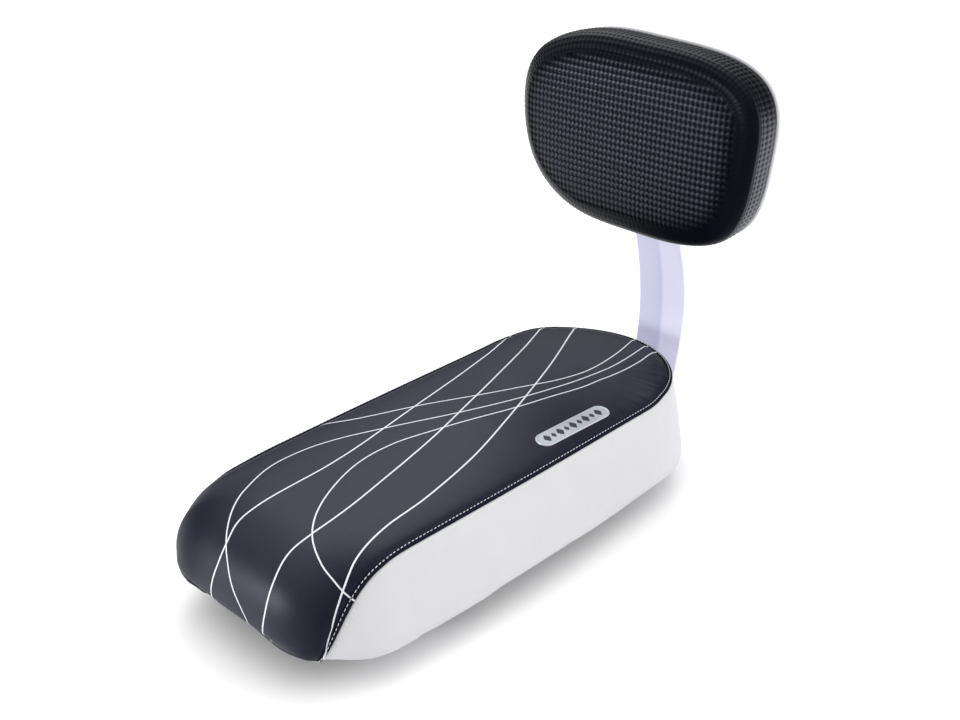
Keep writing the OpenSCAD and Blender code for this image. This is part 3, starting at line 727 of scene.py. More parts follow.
sub = Seat(ring[bk])
zsb = sub.zs
R_BAND = 0.9
fr_s = np.r_[0, 0.06, 0.14, 0.24, 0.36, 0.48, 0.60, 0.71, 0.80, 0.87, 0.92, 0.955, 0.98, 1.0]
rows = []
for s in fr_s:
    w = sub.wall(s)
    z_low = np.minimum(side_low(sub.b[:, 0], sub.b[:, 1]), 0.5 * zsb) + R_BAND * np.clip(zsb / 6, 0, 1)
    w[:, 2] = z_low + (zsb - 0.1 - z_low) * s
    rows.append(w)
wall_o = np.stack(rows)
nw = normals_of(wall_o, closed=False)
if nw[5, nb // 4, 0] < 0:
    nw = -nw
fl = wall_o.reshape(-1, 3)
ws, wd = seam_sd(fl)
hgt = -0.55 * np.exp(-(wd / 0.9) ** 2)                                     # rolls into the seam
hgt += 0.18 * np.exp(-((wd - 5.5) / 2.6) ** 2) - 0.12 * np.exp(-((wd - 2.6) / 0.9) ** 2)
hgt += 0.42 * wave_noise(fl, 31, 80.0) * smoothstep(wd, 3, 16) * smoothstep(fl[:, 2], 0, 10)
hgt += 0.8 * pucker(ws + 3.0, wd * 1.1 + 1.5)
wall_d = (fl + nw.reshape(-1, 3) * hgt[:, None]).reshape(wall_o.shape)
edge_b = wall_d[0].copy()
aim_b = sub.d
arc = np.r_[0, np.cumsum(np.linalg.norm(np.diff(sub.b, axis=0), axis=1))]
corner = np.exp(-((sub.b[:, 1] + 150) / 26) ** 2) + smoothstep(sub.b[:, 1], 95, 135) * (1 - smoothstep(-abs(sub.b[:, 0]), -34, -20))
pleat = np.clip(np.sin(2 * np.pi * arc / 11.0 + 0.8 * np.sin(arc / 9.0)), 0, 1) ** 2
sagb = -(0.08 + 0.75 * pleat * np.clip(corner, 0, 1))
sagb *= (1 - smoothstep(-abs(sub.b[:, 0]), -30, -24) * (sub.b[:, 1] > 0))
sagb *= smoothstep(arc, 0, 8) * smoothstep(arc[-1] - arc, 0, 8)
fold_b = fold_rows(edge_b, aim_b, np.minimum(side_low(sub.b[:, 0], sub.b[:, 1]), 0.5 * zsb), 20.0, sagb)
out_b = np.stack(list(wall_d[::-1]) + fold_b)
in_b = []
nwr = nw[::-1]
for i, q in enumerate(list(wall_d[::-1])):
    in_b.append(q - nwr[i] * 1.1)
for q in fold_b:
    in_b.append(q + np.array([0, 0, 1.0]))
in_b = np.stack(in_b)
# keep the inner skin above the fold near the bottom
in_b[len(wall_d) - 1, :, 2] += 0.4
side_band = band_mesh("seat_side_wrap", out_b, in_b, [mat_white])
pc = co_of(side_band)
s_, d_ = seam_sd(pc)
put_attr(side_band, "seam_s", s_)
put_attr(side_band, "seam_d", d_)

# ------------------------------------------------------------------ seam welt and topstitching
def bvh_of(ob):
    me = ob.data
    vs = [Vector(v.co) * 1000.0 - Vector(SHIFT) for v in me.vertices]
    return BVHTree.FromPolygons(vs, [tuple(p.vertices) for p in me.polygons])


# smooth reference skin of the top panel without the seam groove
ref_faces = grid_faces(no, N).tolist()
REF = BVHTree.FromPolygons(outer.reshape(-1, 3).tolist(), ref_faces)
TOP = BVHTree.FromPolygons(outer_d.reshape(-1, 3).tolist(), ref_faces)


def outward(n):
    return n


def on_skin(tree, p):
    """Nearest point and outward normal."""
    loc, n, _, _ = tree.find_nearest(Vector(p))
    n = np.array(n)
    c = np.array(loc) - np.array([0, np.clip(loc[1], -110, 90), 20.0])
    if n @ c < 0:
        n = -n
    return np.array(loc), n


seam_line = resample(SEAM, int(SEAM_L[-1] / 0.9))
tan = tangents(seam_line)
off_d = [-0.25, 0.0, 0.25, 0.7, 1.3, 2.0, 2.7, 3.3, 3.75, 4.05, 4.35]
off_h = [-1.3, -0.55, -0.12, 0.10, 0.20, 0.22, 0.18, 0.08, -0.10, -0.45, -1.0]
ns_ = len(seam_line)
strip_rows = np.zeros((len(off_d), ns_, 3))
inward = np.zeros((ns_, 3))
seam_n = np.zeros((ns_, 3))
for i in range(ns_):
    p0, n0 = on_skin(REF, seam_line[i])
    w = np.cross(n0, tan[i])
    w /= np.linalg.norm(w)
    inward[i], seam_n[i] = w, n0
# keep the direction pointing into the panel
probe = seam_line + inward * 3
flip_w = np.array([1.0 if (np.linalg.norm(on_skin(REF, probe[i])[0] - seam_line[i]) > 1.5) else -1.0 for i in range(ns_)])
inward *= flip_w[:, None]


def blur(a, n):
    k = np.ones(2 * n + 1) / (2 * n + 1)
    pad = np.pad(a, ((n, n), (0, 0)), mode="edge")
    return np.stack([np.convolve(pad[:, i], k, "valid") for i in range(a.shape[1])], 1)


inward = blur(inward, 4)
inward /= np.linalg.norm(inward, axis=1)[:, None]


s_line = np.arange(ns_) * SEAM_L[-1] / (ns_ - 1)
near_end = np.minimum(s_line, SEAM_L[-1] - s_line)
MARGIN = 0.52 + 0.48 * smoothstep(near_end, 4.0, 42.0)      # the margin narrows at both ends


def offset_line(dd):
    """The line dd mm inside the seam on the smooth skin, with its normals."""
    pts, ns = np.zeros((ns_, 3)), np.zeros((ns_, 3))
    for i in range(ns_):
        p = seam_line[i] + inward[i] * max(dd, 0) * MARGIN[i]
        loc, n = on_skin(REF, p)
        if dd <= 0:
            loc = seam_line[i] + inward[i] * dd
        pts[i], ns[i] = loc, n
    return pts, blur(ns, 2)


for j, (dd, hh) in enumerate(zip(off_d, off_h)):
    pts, ns = offset_line(dd)
    wob = 0.06 * np.sin(seam_line[:, 0] * 0 + np.arange(ns_) * 0.9 * 2 * np.pi / 2.8) if dd > 2 else 0.0
    strip_rows[j] = pts + ns * (hh + wob)[:, None] if dd > 2 else pts + ns * hh
keep = strip_rows[:, :, 2].min(0) > -3.0
under = strip_rows[::-1] - blur(seam_n, 2)[None] * 0.0
low_rows = np.stack([strip_rows[0] - seam_n * 0.9, strip_rows[-1] - seam_n * 0.9])
r_ = strip_rows.shape[0]
v_all = np.vstack([strip_rows.reshape(-1, 3), low_rows.reshape(-1, 3)])
v_all[:, 2] = np.maximum(v_all[:, 2], side_low(v_all[:, 0], v_all[:, 1]) + 0.15)
f_all = [grid_faces(r_, ns_, closed=False)]
k = np.arange(ns_ - 1)
o = r_ * ns_
f_all.append(np.stack([k + 1, k, o + k, o + k + 1], -1))
e = (r_ - 1) * ns_
f_all.append(np.stack([e + k, e + k + 1, o + ns_ + k + 1, o + ns_ + k], -1))
f_all.append(np.stack([o + k, o + ns_ + k, o + ns_ + k + 1, o + k + 1], -1))
fl_ = np.vstack(f_all).tolist()
cap0 = [j * ns_ for j in range(r_)] + [o + ns_, o]
cap1 = [j * ns_ + ns_ - 1 for j in range(r_)] + [o + 2 * ns_ - 1, o + ns_ - 1]
fl_ += [cap0, cap1[::-1]]
welt = add_mesh("seam_welt", v_all, fl_, [mat_black])
bm = bmesh.new()
bm.from_mesh(welt.data)
bmesh.ops.recalc_face_normals(bm, faces=bm.faces)
bm.to_mesh(welt.data)
bm.free()


def stitches(name, path, normals, pitch, length, radius, mat, lift_h=0.12, seed=5, skip=()):
    """Separate thread stitches along a path: each one a bent capsule whose ends dip into the leather."""
    g = np.random.default_rng(seed)
    cum_ = np.r_[0, np.cumsum(np.linalg.norm(np.diff(path, axis=0), axis=1))]
    total = cum_[-1]
    vs, fs, at = [], [], 0
    sides = 8
    t_ = np.array([0.0, 0.06, 0.18, 0.38, 0.62, 0.82, 0.94, 1.0])
    rad = np.array([0.25, 0.72, 0.95, 1.0, 1.0, 0.95, 0.72, 0.25]) * radius
    dip = np.array([-0.42, -0.18, 0.02, 0.12, 0.12, 0.02, -0.18, -0.42])
    n_ = int((total - 1.0) / pitch)
    for q in range(n_):
        s0 = 0.6 + q * pitch + g.normal(0, 0.05)
        ln = length * (1 + g.normal(0, 0.05))
        ss = s0 + t_ * ln
        c = np.stack([np.interp(ss, cum_, path[:, i]) for i in range(3)], 1)
        nn = np.stack([np.interp(ss, cum_, normals[:, i]) for i in range(3)], 1)
        nn /= np.linalg.norm(nn, axis=1)[:, None]
        tt = tangents(c)
        w = np.cross(nn, tt)
        slant = g.normal(0.0, 0.05) + 0.10
        c = c + nn * (dip + lift_h)[:, None] + w * ((t_ - 0.5) * 2 * slant)[:, None]
        for i in range(len(t_)):
            for a in range(sides):
                th = 2 * np.pi * a / sides
                vs.append(c[i] + rad[i] * (np.cos(th) * w[i] + 0.85 * np.sin(th) * nn[i]))
        for i in range(len(t_) - 1):
            for a in range(sides):
                b = (a + 1) % sides
                fs.append([at + i * sides + a, at + i * sides + b, at + (i + 1) * sides + b, at + (i + 1) * sides + a])
        fs.append([at + a for a in range(sides)][::-1])
        fs.append([at + (len(t_) - 1) * sides + a for a in range(sides)])
        at += len(t_) * sides
    return add_mesh(name, np.array(vs), fs, [mat])


st_line, st_n = offset_line(3.35)
ok = st_line[:, 2] > 2.0
i0, i1 = np.where(ok)[0][0], np.where(ok)[0][-1] + 1
stitch = stitches("topstitching", st_line[i0:i1], st_n[i0:i1], 2.8, 1.95, 0.235, mat_thread, lift_h=0.18)

# ------------------------------------------------------------------ printed lines on the panel
LINES = {
    "a": [(-76, 160, 40), (-69, 132, 48.6), (-64.9, 115.2, 50.4), (-60.2, 98.2, 52.6), (-54.8, 80.1, 53.6), (-50, 61, 54), (-36, -3, 55), (-28.5, -40, 55.7), (-19, -92, 56.1), (-16.5, -131, 56.4), (-15.5, -151, 55.2), (-15, -164, 51.4), (-12.5, -173, 45), (-12.0, -180.6, 34.8), (-13.6, -184.2, 25.3), (-15, -185.1, 17), (-15.2, -184.8, 10), (-16, -181, 2.5)],
    "b": [(-60.5, 158, 43), (-53.8, 139, 51), (-48.8, 124.9, 53), (-41.6, 104.2, 54.6), (-31.5, 75.5, 55.5), (-15, 26.5, 56.3), (0, -20, 56.5), (15.5, -80, 56.2), (24, -118, 56.1), (27.5, -145, 55.6), (28.5, -162.5, 51.7), (31.6, -176.2, 41.0), (32.3, -183.0, 26.5), (30.6, -184.4, 15), (29.6, -183.0, 8), (29, -180, 2)],
    "c": [(-50, 170, 44), (-43, 163, 50), (-38.5, 155.5, 51.5), (-14, 104.6, 56.2), (2.4, 65, 56.5), (15.5, 30.7, 56.2), (34.5, -26, 55.3), (46, -79, 54.3), (50, -111.6, 54), (57, -138, 52), (63.0, -154.0, 42.8), (65.0, -163.5, 30.0), (64.2, -167.8, 18), (62.6, -170.2, 8.5), (62.0, -170.8, 4.5)],
    "d": [(1.2, 174.0, 48.5), (2.7, 169.8, 51.7), (4.9, 162.0, 52.8), (10.0, 145.1, 54.5), (13.0, 130.3, 55.5), (14.5, 117.0, 56), (14.2, 102.7, 56.1), (11.5, 90.1, 56.1), (8.0, 78.5, 56.2), (2.4, 65, 56.5), (-15, 28.3, 56.3), (-33, -6, 55.4), (-51, -42, 53.8), (-66, -64, 51)],
    "e": [(14.2, 172, 48.5), (15.3, 166, 52), (16.8, 158.5, 52.8), (19.5, 145, 54.3), (21.5, 130.5, 55.2), (22.0, 118.4, 55.7), (21.0, 108, 55.8), (19.3, 96, 55.9), (17.0, 82.9, 56), (14.3, 70.4, 56.1), (8.5, 47.3, 56.4), (-7.6, 2, 56.4), (-27.4, -40.5, 55.7), (-39.6, -68.5, 54.9), (-45, -90.7, 54.4), (-45, -116.4, 54.7), (-33, -146.3, 55.1), (-21.4, -164.6, 51), (-11.6, -174.8, 43.2), (-5.5, -178.4, 37.5), (4.2, -183.2, 27.4), (13.2, -184.8, 19.1), (17.5, -184.3, 13), (18.5, -181, 3)],
    "f": [(23.8, 171, 48), (24.9, 165.6, 51.2), (26.2, 156.5, 52.7), (28.8, 144.5, 53.8), (30.3, 130.1, 54.8), (30.4, 119.1, 55.2), (29.6, 109.8, 55.4), (28.1, 100.7, 55.4), (26.7, 87.2, 55.5), (24.1, 74.6, 55.8), (21.2, 63.1, 55.9), (14.0, 33, 56.3), (-1.6, -19, 56.5), (-9.4, -51.4, 56.4), (-8, -80, 56.4), (4.3, -113.7, 56.5), (17, -134.3, 56.4), (31.7, -148.5, 55.0), (48, -156, 50.2), (56.9, -156.7, 46.3), (64.1, -155.4, 40.8), (68.0, -151.5, 35.0), (70.3, -149.5, 32.5)],
}


def ribbon(name, pts, width, mat, tree=None, height=0.10, sink=0.12, ends=0.6):
    """A thin printed line: a low closed ribbon that lies on the skin."""
    tree = tree or TOP
    c = spline(pts, 1.2)
    loc, nn = np.zeros_like(c), np.zeros_like(c)
    for i, q in enumerate(c):
        loc[i], nn[i] = on_skin(tree, q)
    loc = blur(loc, 1) if len(loc) > 6 else loc
    for i in range(len(loc)):
        loc[i], nn[i] = on_skin(tree, loc[i])
    nn = blur(nn, 2)
    nn /= np.linalg.norm(nn, axis=1)[:, None]
    # climb on the welt square to the skin, without a sideways step
    up = np.zeros(len(loc))
    for i in range(len(loc)):
        hit = COVER.ray_cast(Vector(loc[i] + nn[i] * 3.0), Vector(-nn[i]), 6.0)
        up[i] = 3.0 - hit[3] if hit[0] is not None else 0.0
    loc += nn * np.maximum(up, blur(up[:, None], 2)[:, 0])[:, None]
    t = tangents(loc)
    w = np.cross(nn, t)
    w /= np.linalg.norm(w, axis=1)[:, None]
    prof = [(-0.5, -sink), (-0.5, height * 0.55), (-0.36, height), (0.36, height), (0.5, height * 0.55), (0.5, -sink)]
    n = len(loc)
    taper = np.ones(n)
    taper[0] = taper[-1] = ends
    vs = np.concatenate([loc + w * (a * width * taper)[:, None] + nn * b for a, b in prof])
    m = len(prof)
    fs = []
    for j in range(m):
        j2 = (j + 1) % m
        for i in range(n - 1):
            fs.append([j * n + i, j * n + i + 1, j2 * n + i + 1, j2 * n + i])
    fs.append([j * n for j in range(m)][::-1])
    fs.append([j * n + n - 1 for j in range(m)])
    ob = add_mesh(name, vs, fs, [mat], sharp=50)
    return ob


w_v = strip_rows.reshape(-1, 3)
COVER = BVHTree.FromPolygons(np.vstack([outer_d.reshape(-1, 3), w_v]).tolist(),
                             ref_faces + grid_faces(r_, ns_, start=outer_d.shape[0] * N, closed=False).tolist())
lines = []
for key, pts in LINES.items():
    wide = 1.02 if key in "abc" else 0.88
    lines.append(ribbon("print_line_" + key, pts, wide, mat_print))

# ------------------------------------------------------------------ badge
def pill_points(c0, c1, r, n=24):
    c0, c1 = np.array(c0, float), np.array(c1, float)
    t = (c1 - c0) / np.linalg.norm(c1 - c0)
    w = np.array([-t[1], t[0]])
    out = []
    for a in np.linspace(-np.pi / 2, np.pi / 2, n):
        out.append(c1 + r * (np.cos(a) * t + np.sin(a) * w))
    for a in np.linspace(np.pi / 2, 3 * np.pi / 2, n):
        out.append(c0 + r * (np.cos(a) * t + np.sin(a) * w))
    return np.array(out)


def skin_patch(name, outline_xy, heights, mats, step=1.0, sink=0.3):
    """A closed raised patch that follows the panel: rings inset by (inset, height) pairs round a plan outline."""
    c = outline_xy.mean(0)
    rings_ = []
    o2 = outline_xy
    t = tangents(np.c_[o2, np.zeros(len(o2))], closed=True)[:, :2]
    nrm2 = np.c_[-t[:, 1], t[:, 0]]
    if ((c - o2) * nrm2).sum() < 0:
        nrm2 = -nrm2
    for inset, h in heights:
        p2 = o2 + nrm2 * inset
        ring_p = []
        for q in p2:
            hit = TOP.ray_cast(Vector((q[0], q[1], 90)), Vector((0, 0, -1)))
            loc, n = np.array(hit[0]), np.array(hit[1])
            if n[2] < 0:
                n = -n
            ring_p.append(loc + n * h)
        rings_.append(np.array(ring_p))
    return rings_


badge_ring = resample(pill_points((51.7, 18.7), (53.5, 69.3), 6.3), 120, closed=True)
hts = [(0.0, -0.25), (0.0, 0.35), (0.12, 0.62), (0.35, 0.78), (0.7, 0.80), (1.0, 0.66), (1.25, 0.55), (2.2, 0.55), (3.3, 0.55), (4.4, 0.55), (5.4, 0.55)]
br = skin_patch("badge", badge_ring, hts, None)
nbp = len(badge_ring)
vs = np.vstack(br)
fs = grid_faces(len(br), nbp).tolist()
inner_start = (len(br) - 1) * nbp
# fill the long middle with quads across
half_n = nbp // 2
idx = inner_start + np.arange(nbp)
cxy = br[-1][:, :2]
start_i = int(np.argmin(cxy[:, 1]))
seq = np.roll(idx, -start_i)
for i in range(half_n):
    a, b, c, d = seq[i], seq[i + 1], seq[-i - 1], seq[-i] if i else seq[0]
    fs.append([a, b, c, d] if i else [a, b, c])
fs.append([int(q) for q in np.arange(nbp)][::-1])
fs = [[int(q) for q in f] for f in fs]
fs = [f if len(set(f)) == len(f) else [q for i, q in enumerate(f) if q not in f[:i]] for f in fs]
badge = add_mesh("badge_pill", vs, [f for f in fs if len(f) > 2], [mat_badge], sharp=35)
bm = bmesh.new()
bm.from_mesh(badge.data)
bmesh.ops.recalc_face_normals(bm, faces=bm.faces)
bm.to_mesh(badge.data)
bm.free()

# a plain row of small lozenges printed on the pill
BADGE_T = bvh_of(badge)
ink_v, ink_f = [], []
c0, c1 = np.array((51.75, 20.5)), np.array((53.45, 67.3))
for q in range(9):
    f = q / 8
    c = c0 * (1 - f) + c1 * f
    t = (c1 - c0) / np.linalg.norm(c1 - c0)
    w = np.array([-t[1], t[0]])
    size = 3.5 if q % 2 == 0 else 2.3
    base = len(ink_v)
    m_ = 20
    for h in (-0.1, 0.10):
        for a in range(m_):
            th = 2 * np.pi * a / m_
            ca, sa = np.cos(th), np.sin(th)
            e_ = 1.15
            px = np.sign(ca) * abs(ca) ** (2 / e_) * size * 0.72
            py = np.sign(sa) * abs(sa) ** (2 / e_) * size
            pt = c + t * px + w * py
            hit = BADGE_T.ray_cast(Vector((pt[0], pt[1], 90)), Vector((0, 0, -1)))
            loc, n = np.array(hit[0]), np.array(hit[1])
            n = n if n[2] > 0 else -n
            ink_v.append(loc + n * h)
    ink_f += [[base + a, base + (a + 1) % m_, base + m_ + (a + 1) % m_, base + m_ + a] for a in range(m_)]
    ink_f.append([base + m_ + a for a in range(m_)])
    ink_f.append([base + a for a in range(m_)][::-1])
badge_ink = add_mesh("badge_marks", np.array(ink_v), ink_f, [mat_ink], sharp=40)

# ------------------------------------------------------------------ seat foam
NFm = 240
ringf = outline(NFm)
sfm = Seat(ringf)
prof_f = []
for s in np.linspace(0, 1, 30)[:-1]:
    w = sfm.wall(s)
    prof_f.append(np.c_[w[:, :2] + sfm.d * 2.4, w[:, 2]])
for u in np.linspace(0, 1, 60):
    w = sfm.top(u)
    f = np.pi / 2 * u ** 1.15
    prof_f.append(np.c_[w[:, :2] + sfm.d * (2.4 * np.cos(f)), w[:, 2] - 2.0 * np.sin(f)])
prof_f = np.stack(prof_f)
nf_ = 15
fr3 = np.zeros((nf_, NFm, 3))
for k in range(NFm):
    c = prof_f[:, k]
    i = int(np.argmax(c[:, 2] > 10.6))
    if i > 0:
        f = (10.6 - c[i - 1, 2]) / (c[i, 2] - c[i - 1, 2])
        c = np.vstack([c[i - 1] + (c[i] - c[i - 1]) * f, c[i:]])
    d = np.r_[0, np.cumsum(np.linalg.norm(np.diff(c, axis=0), axis=1))]
    at = np.r_[np.linspace(0, 60, 9) / 60 * min(60.0, 0.8 * d[-1]), np.linspace(min(60.0, 0.8 * d[-1]), d[-1], 7)[1:]]
    fr3[:, k] = np.stack([np.interp(at, d, c[:, q]) for q in range(3)], 1)
for k in range(1, NFm // 2):
    m_ = (fr3[-1, k] + fr3[-1, NFm - k]) / 2
    m_[0] = 0
    fr3[-1, k] = fr3[-1, NFm - k] = m_
fr3[-1, 0, 0] = fr3[-1, NFm // 2, 0] = 0
ff = grid_faces(nf_, NFm).tolist() + [list(range(NFm))[::-1]]
foam = add_mesh("seat_foam_core", fr3.reshape(-1, 3), ff, [mat_foam])
bm = bmesh.new()
bm.from_mesh(foam.data)
bmesh.ops.remove_doubles(bm, verts=bm.verts, dist=3e-6)
bmesh.ops.recalc_face_normals(bm, faces=bm.faces)
bm.to_mesh(foam.data)
bm.free()
for p in foam.data.polygons:
    p.use_smooth = True

# ------------------------------------------------------------------ backrest bar
BAR_W, BAR_T, FOOT_L = 37.8, 3.0, 116.0
foot_z, low_r, top_r, a1, a2, bow_r = -1.65, 24.0, 60.0, 75.0, 107.0, 165.0
bow = np.array([207 - bow_r, 62.0])


def rad(a):
    return math.radians(a)


pb0 = bow + bow_r * np.array([math.sin(rad(a1)), -math.cos(rad(a1))])
pb1 = bow + bow_r * np.array([math.sin(rad(a2)), -math.cos(rad(a2))])
rise = pb0[1] - foot_z - low_r * (1 - math.cos(rad(a1)))
s0 = np.array([pb0[0] - rise / math.tan(rad(a1)), pb0[1] - rise])
foot_y = s0[0] - low_r * math.sin(rad(a1))
pb2 = pb1 + 27.0 * np.array([math.cos(rad(a2)), math.sin(rad(a2))])
pb3 = np.array([pb2[0] - top_r * (1 - math.cos(rad(a2 - 90))), pb2[1] + top_r * math.sin(rad(a2 - 90))])
BAR_TOP = 232.0
cl = [(foot_y - FOOT_L, foot_z)]
cl += [(foot_y + low_r * math.sin(rad(a)), foot_z + low_r - low_r * math.cos(rad(a))) for a in np.linspace(0, a1, 22)]
cl += [(bow[0] + bow_r * math.sin(rad(a)), bow[1] - bow_r * math.cos(rad(a))) for a in np.linspace(a1, a2, 34)]
cl += [(pb3[0] + top_r + top_r * math.sin(rad(a)), pb3[1] - top_r * math.cos(rad(a))) for a in np.linspace(180 + a2, 270, 12)]
cl += [(pb3[0], BAR_TOP)]
cl = np.array(cl)
cl = resample(cl, 330)
ct = tangents(np.c_[np.zeros(len(cl)), cl])[:, 1:]
cn = np.c_[-ct[:, 1], ct[:, 0]]              # towards the pad side (front / up)
clen = np.r_[0, np.cumsum(np.linalg.norm(np.diff(cl, axis=0), axis=1))]
tot = clen[-1]
# cross-section: shallow folded ridge along the middle of the upright, rounded edges
def section(half, ridge):
    pts = []
    e = 0.75
    xs_ = np.r_[np.linspace(-half + e, -3.2, 7), np.linspace(-2.4, 2.4, 7), np.linspace(3.2, half - e, 7)]
    def lift_(x):
        return ridge * (1 - math.sqrt(x * x + 4.0) / math.sqrt(half * half + 4.0))
    for x in xs_:
        pts.append((x, BAR_T / 2 + lift_(x) - (0.08 if abs(x) > half - e - 0.01 else 0)))
    for a in (60, 30, 0, -30, -60):
        pts.append((half - e + e * math.cos(rad(a)), (BAR_T / 2 - e * 0.9) * (1 if a > 0 else -1 if a < 0 else 0) + e * 0.9 * math.sin(rad(a)) + lift_(half)))
    for x in xs_[::-1]:
        pts.append((x, -BAR_T / 2 + lift_(x) * 0.9 + (0.08 if abs(x) > half - e - 0.01 else 0)))
    for a in (-60, -30, 0, 30, 60):
        pts.append((-(half - e) - e * math.cos(rad(a)), (BAR_T / 2 - e * 0.9) * (1 if a > 0 else -1 if a < 0 else 0) + e * 0.9 * math.sin(rad(a)) + lift_(half)))
    return np.array(pts)


rows_bar = []
for i in range(len(cl)):
    s = clen[i]
    half = BAR_W / 2
    # round ends in plan
    e0, e1 = s, tot - s
    for e_ in (e0, e1):
        if e_ < BAR_W / 2:
            half = min(half, math.sqrt(max((BAR_W / 2) ** 2 - (BAR_W / 2 - e_) ** 2, 0.6)))
    half += 1.0 * math.exp(-((cl[i, 1] - 88) / 32) ** 2) * (cl[i, 0] > foot_y)
    ridge = 1.9 * float(smoothstep(np.array([s]), 150, 185)[0]) * float(1 - smoothstep(np.array([s]), tot - 85, tot - 60)[0])
    sec = section(half, ridge)
    rows_bar.append(np.c_[sec[:, 0], cl[i, 0] + cn[i, 0] * sec[:, 1], cl[i, 1] + cn[i, 1] * sec[:, 1]])
rb = np.stack(rows_bar)
nsec = rb.shape[1]
fb_ = grid_faces(len(rb), nsec).tolist()
fb_ += [list(range(nsec))[::-1], [(len(rb) - 1) * nsec + q for q in range(nsec)]]
bar = add_mesh("backrest_support", rb.reshape(-1, 3), fb_, [mat_bar], sharp=40)
# painted light: marks the right half of the bar, which gets the lighter, lit copy of the paint colour
put_attr(bar, "half", smoothstep(rb.reshape(-1, 3)[:, 0], 0.3, 3.8))
bm = bmesh.new()
bm.from_mesh(bar.data)
bmesh.ops.recalc_face_normals(bm, faces=bm.faces)
bm.to_mesh(bar.data)
bm.free()

# ------------------------------------------------------------------ backrest pad
PA, PB, PT, PZ, PY, PN, TAPER = 93.46, 64.9, 28.9, 201.1, 152.4, 3.25, 0.07
PBACK = PY + PT


def spow(v, e):
    return np.sign(v) * np.abs(v) ** e


def pad_ring(n, g=0.0):
    """n points of the pad's outline at equal steps, g mm inside it."""
    t = np.linspace(0, 2 * np.pi, 4001)[:-1]
    x, z = spow(np.cos(t), 2 / PN), spow(np.sin(t), 2 / PN)
    p = np.c_[(PA - g) * x * (1 + TAPER * z), (PB - g) * z]
    u_ = p / np.linalg.norm(p, axis=1)[:, None]
    for cx, cz, r_e, amt in ((-PA, 0, 27, 4.0), (-0.80 * PA, 0.84 * PB, 24, -2.6), (-0.30 * PA, PB, 32, 1.5), (-0.80 * PA, -0.84 * PB, 24, -2.4), (0.84 * PA, -0.86 * PB, 18, 1.7)):
        p = p + u_ * (amt * np.exp(-((p[:, 0] - cx) ** 2 + (p[:, 1] - cz) ** 2) / (2 * (r_e * 0.85) ** 2)))[:, None]
    return resample(p, n, closed=True)


# profile of the pad: arc from the face's middle, over the roll, down the wall
PROF = [(0.0, 16.6), (0.0, 12.0), (0.5, 9.6), (2.0, 7.0), (4.8, 4.0), (9.2, 1.5), (14.5, -0.6), (22, -2.2), (32, -3.2), (46, -3.9), (65.9, -4.2)]


def face_y(g):
    """Height of the face (towards -y) at inset g from the outline."""
    a = np.array([(q[0], q[1]) for q in PROF])
    return PY + np.interp(g, a[:, 0], a[:, 1])


def prof_curve(n):
    """Smooth profile (inset, y) from the back edge over the wall and roll to the face's middle."""
    ctrl = [(2.4, PT - 0.2), (0.9, PT - 4.6), (0.0, 16.6), (0.15, 12.0), (1.0, 8.4), (3.0, 5.2), (6.0, 2.7), (10.0, 0.7), (15.5, -0.9), (23, -2.2), (33, -3.2), (46, -3.9), (65.9, -4.2)]
    c = spline(ctrl, 0.25)
    return c


pc_ = prof_curve(0)
pl = np.r_[0, np.cumsum(np.linalg.norm(np.diff(pc_, axis=0), axis=1))]
pc_ = pc_[:, :2] + 0
PX_, PZ_ = 3.55, 4.25          # pitch of the embossing


def emboss(a, b):
    """Raised ovals with pits on the diagonals, in -1..1; a and b in pitches."""
    c = (np.cos(2 * np.pi * a) + np.cos(2 * np.pi * b)) / 2
    return np.where(c > 0, np.abs(c) ** 0.8, -np.abs(c) ** 1.25 * 1.25)




def pit_of(e):
    """1 on top of an oval, 0.1 down in a pit; painted shade that lowers the gloss in the pits."""
    return 0.10 + 0.90 * smoothstep(e, -0.45, 0.75)


AMP = 0.36
# inner lattice of the face, aligned with the embossing
LAT = 13.0                     # lattice stops this far inside the outline
qx, qz = PX_ / 5, PZ_ / 6
gx = np.arange(-140, 141) * qx
gz = np.arange(-100, 101) * qz


def inset_of(x, z):
    """How far inside the outline a plan point is, by scaling (0 at the outline)."""
    k = 1 + TAPER * np.clip(z / PB, -1, 1)
    r = (np.abs(x / (PA * k)) ** PN + np.abs(z / PB) ** PN) ** (1 / PN)
    return r


ring_ref = pad_ring(3600)
ring_kd = kd_of(np.c_[ring_ref, np.zeros(len(ring_ref))])
XX, ZZ = np.meshgrid(gx, gz, indexing="ij")
RRn = inset_of(XX, ZZ)
inside = RRn < 1.0
insets = np.zeros(XX.shape)
for i in range(XX.shape[0]):
    for j in range(XX.shape[1]):
        if inside[i, j]:
            if RRn[i, j] > 0.25:
                insets[i, j] = ring_kd.find((XX[i, j], ZZ[i, j], 0))[2]
            else:
                insets[i, j] = 60
good = inside & (insets > LAT)
cellok = good[:-1, :-1] & good[1:, :-1] & good[:-1, 1:] & good[1:, 1:]
used = np.zeros(good.shape, bool)
used[:-1, :-1] |= cellok
used[1:, :-1] |= cellok
used[:-1, 1:] |= cellok
used[1:, 1:] |= cellok
vid = -np.ones(good.shape, int)
vid[used] = np.arange(used.sum())
lx, lz, li = XX[used], ZZ[used], insets[used]


def depth_at(g):
    """y of the smooth face at inset g, from the profile curve (its inner part)."""
    k = np.argmin(pc_[:, 0])
    return PY + np.interp(g, pc_[k:, 0], pc_[k:, 1])


def face_wave(x, z):
    return 0.25 * wave_noise(np.c_[x, z], 41, 70.0)


em = emboss(lx / PX_, lz / PZ_)
fade = smoothstep(li, LAT - 1.0, LAT + 3.5) * 0.94 + 0.06
ly = depth_at(li) + face_wave(lx, lz) * smoothstep(li, 8, 30) - AMP * em * fade
lat_v = np.c_[lx, ly, lz + PZ]
ci, cj = np.where(cellok)
lat_f = np.stack([vid[ci, cj], vid[ci + 1, cj], vid[ci + 1, cj + 1], vid[ci, cj + 1]], -1)
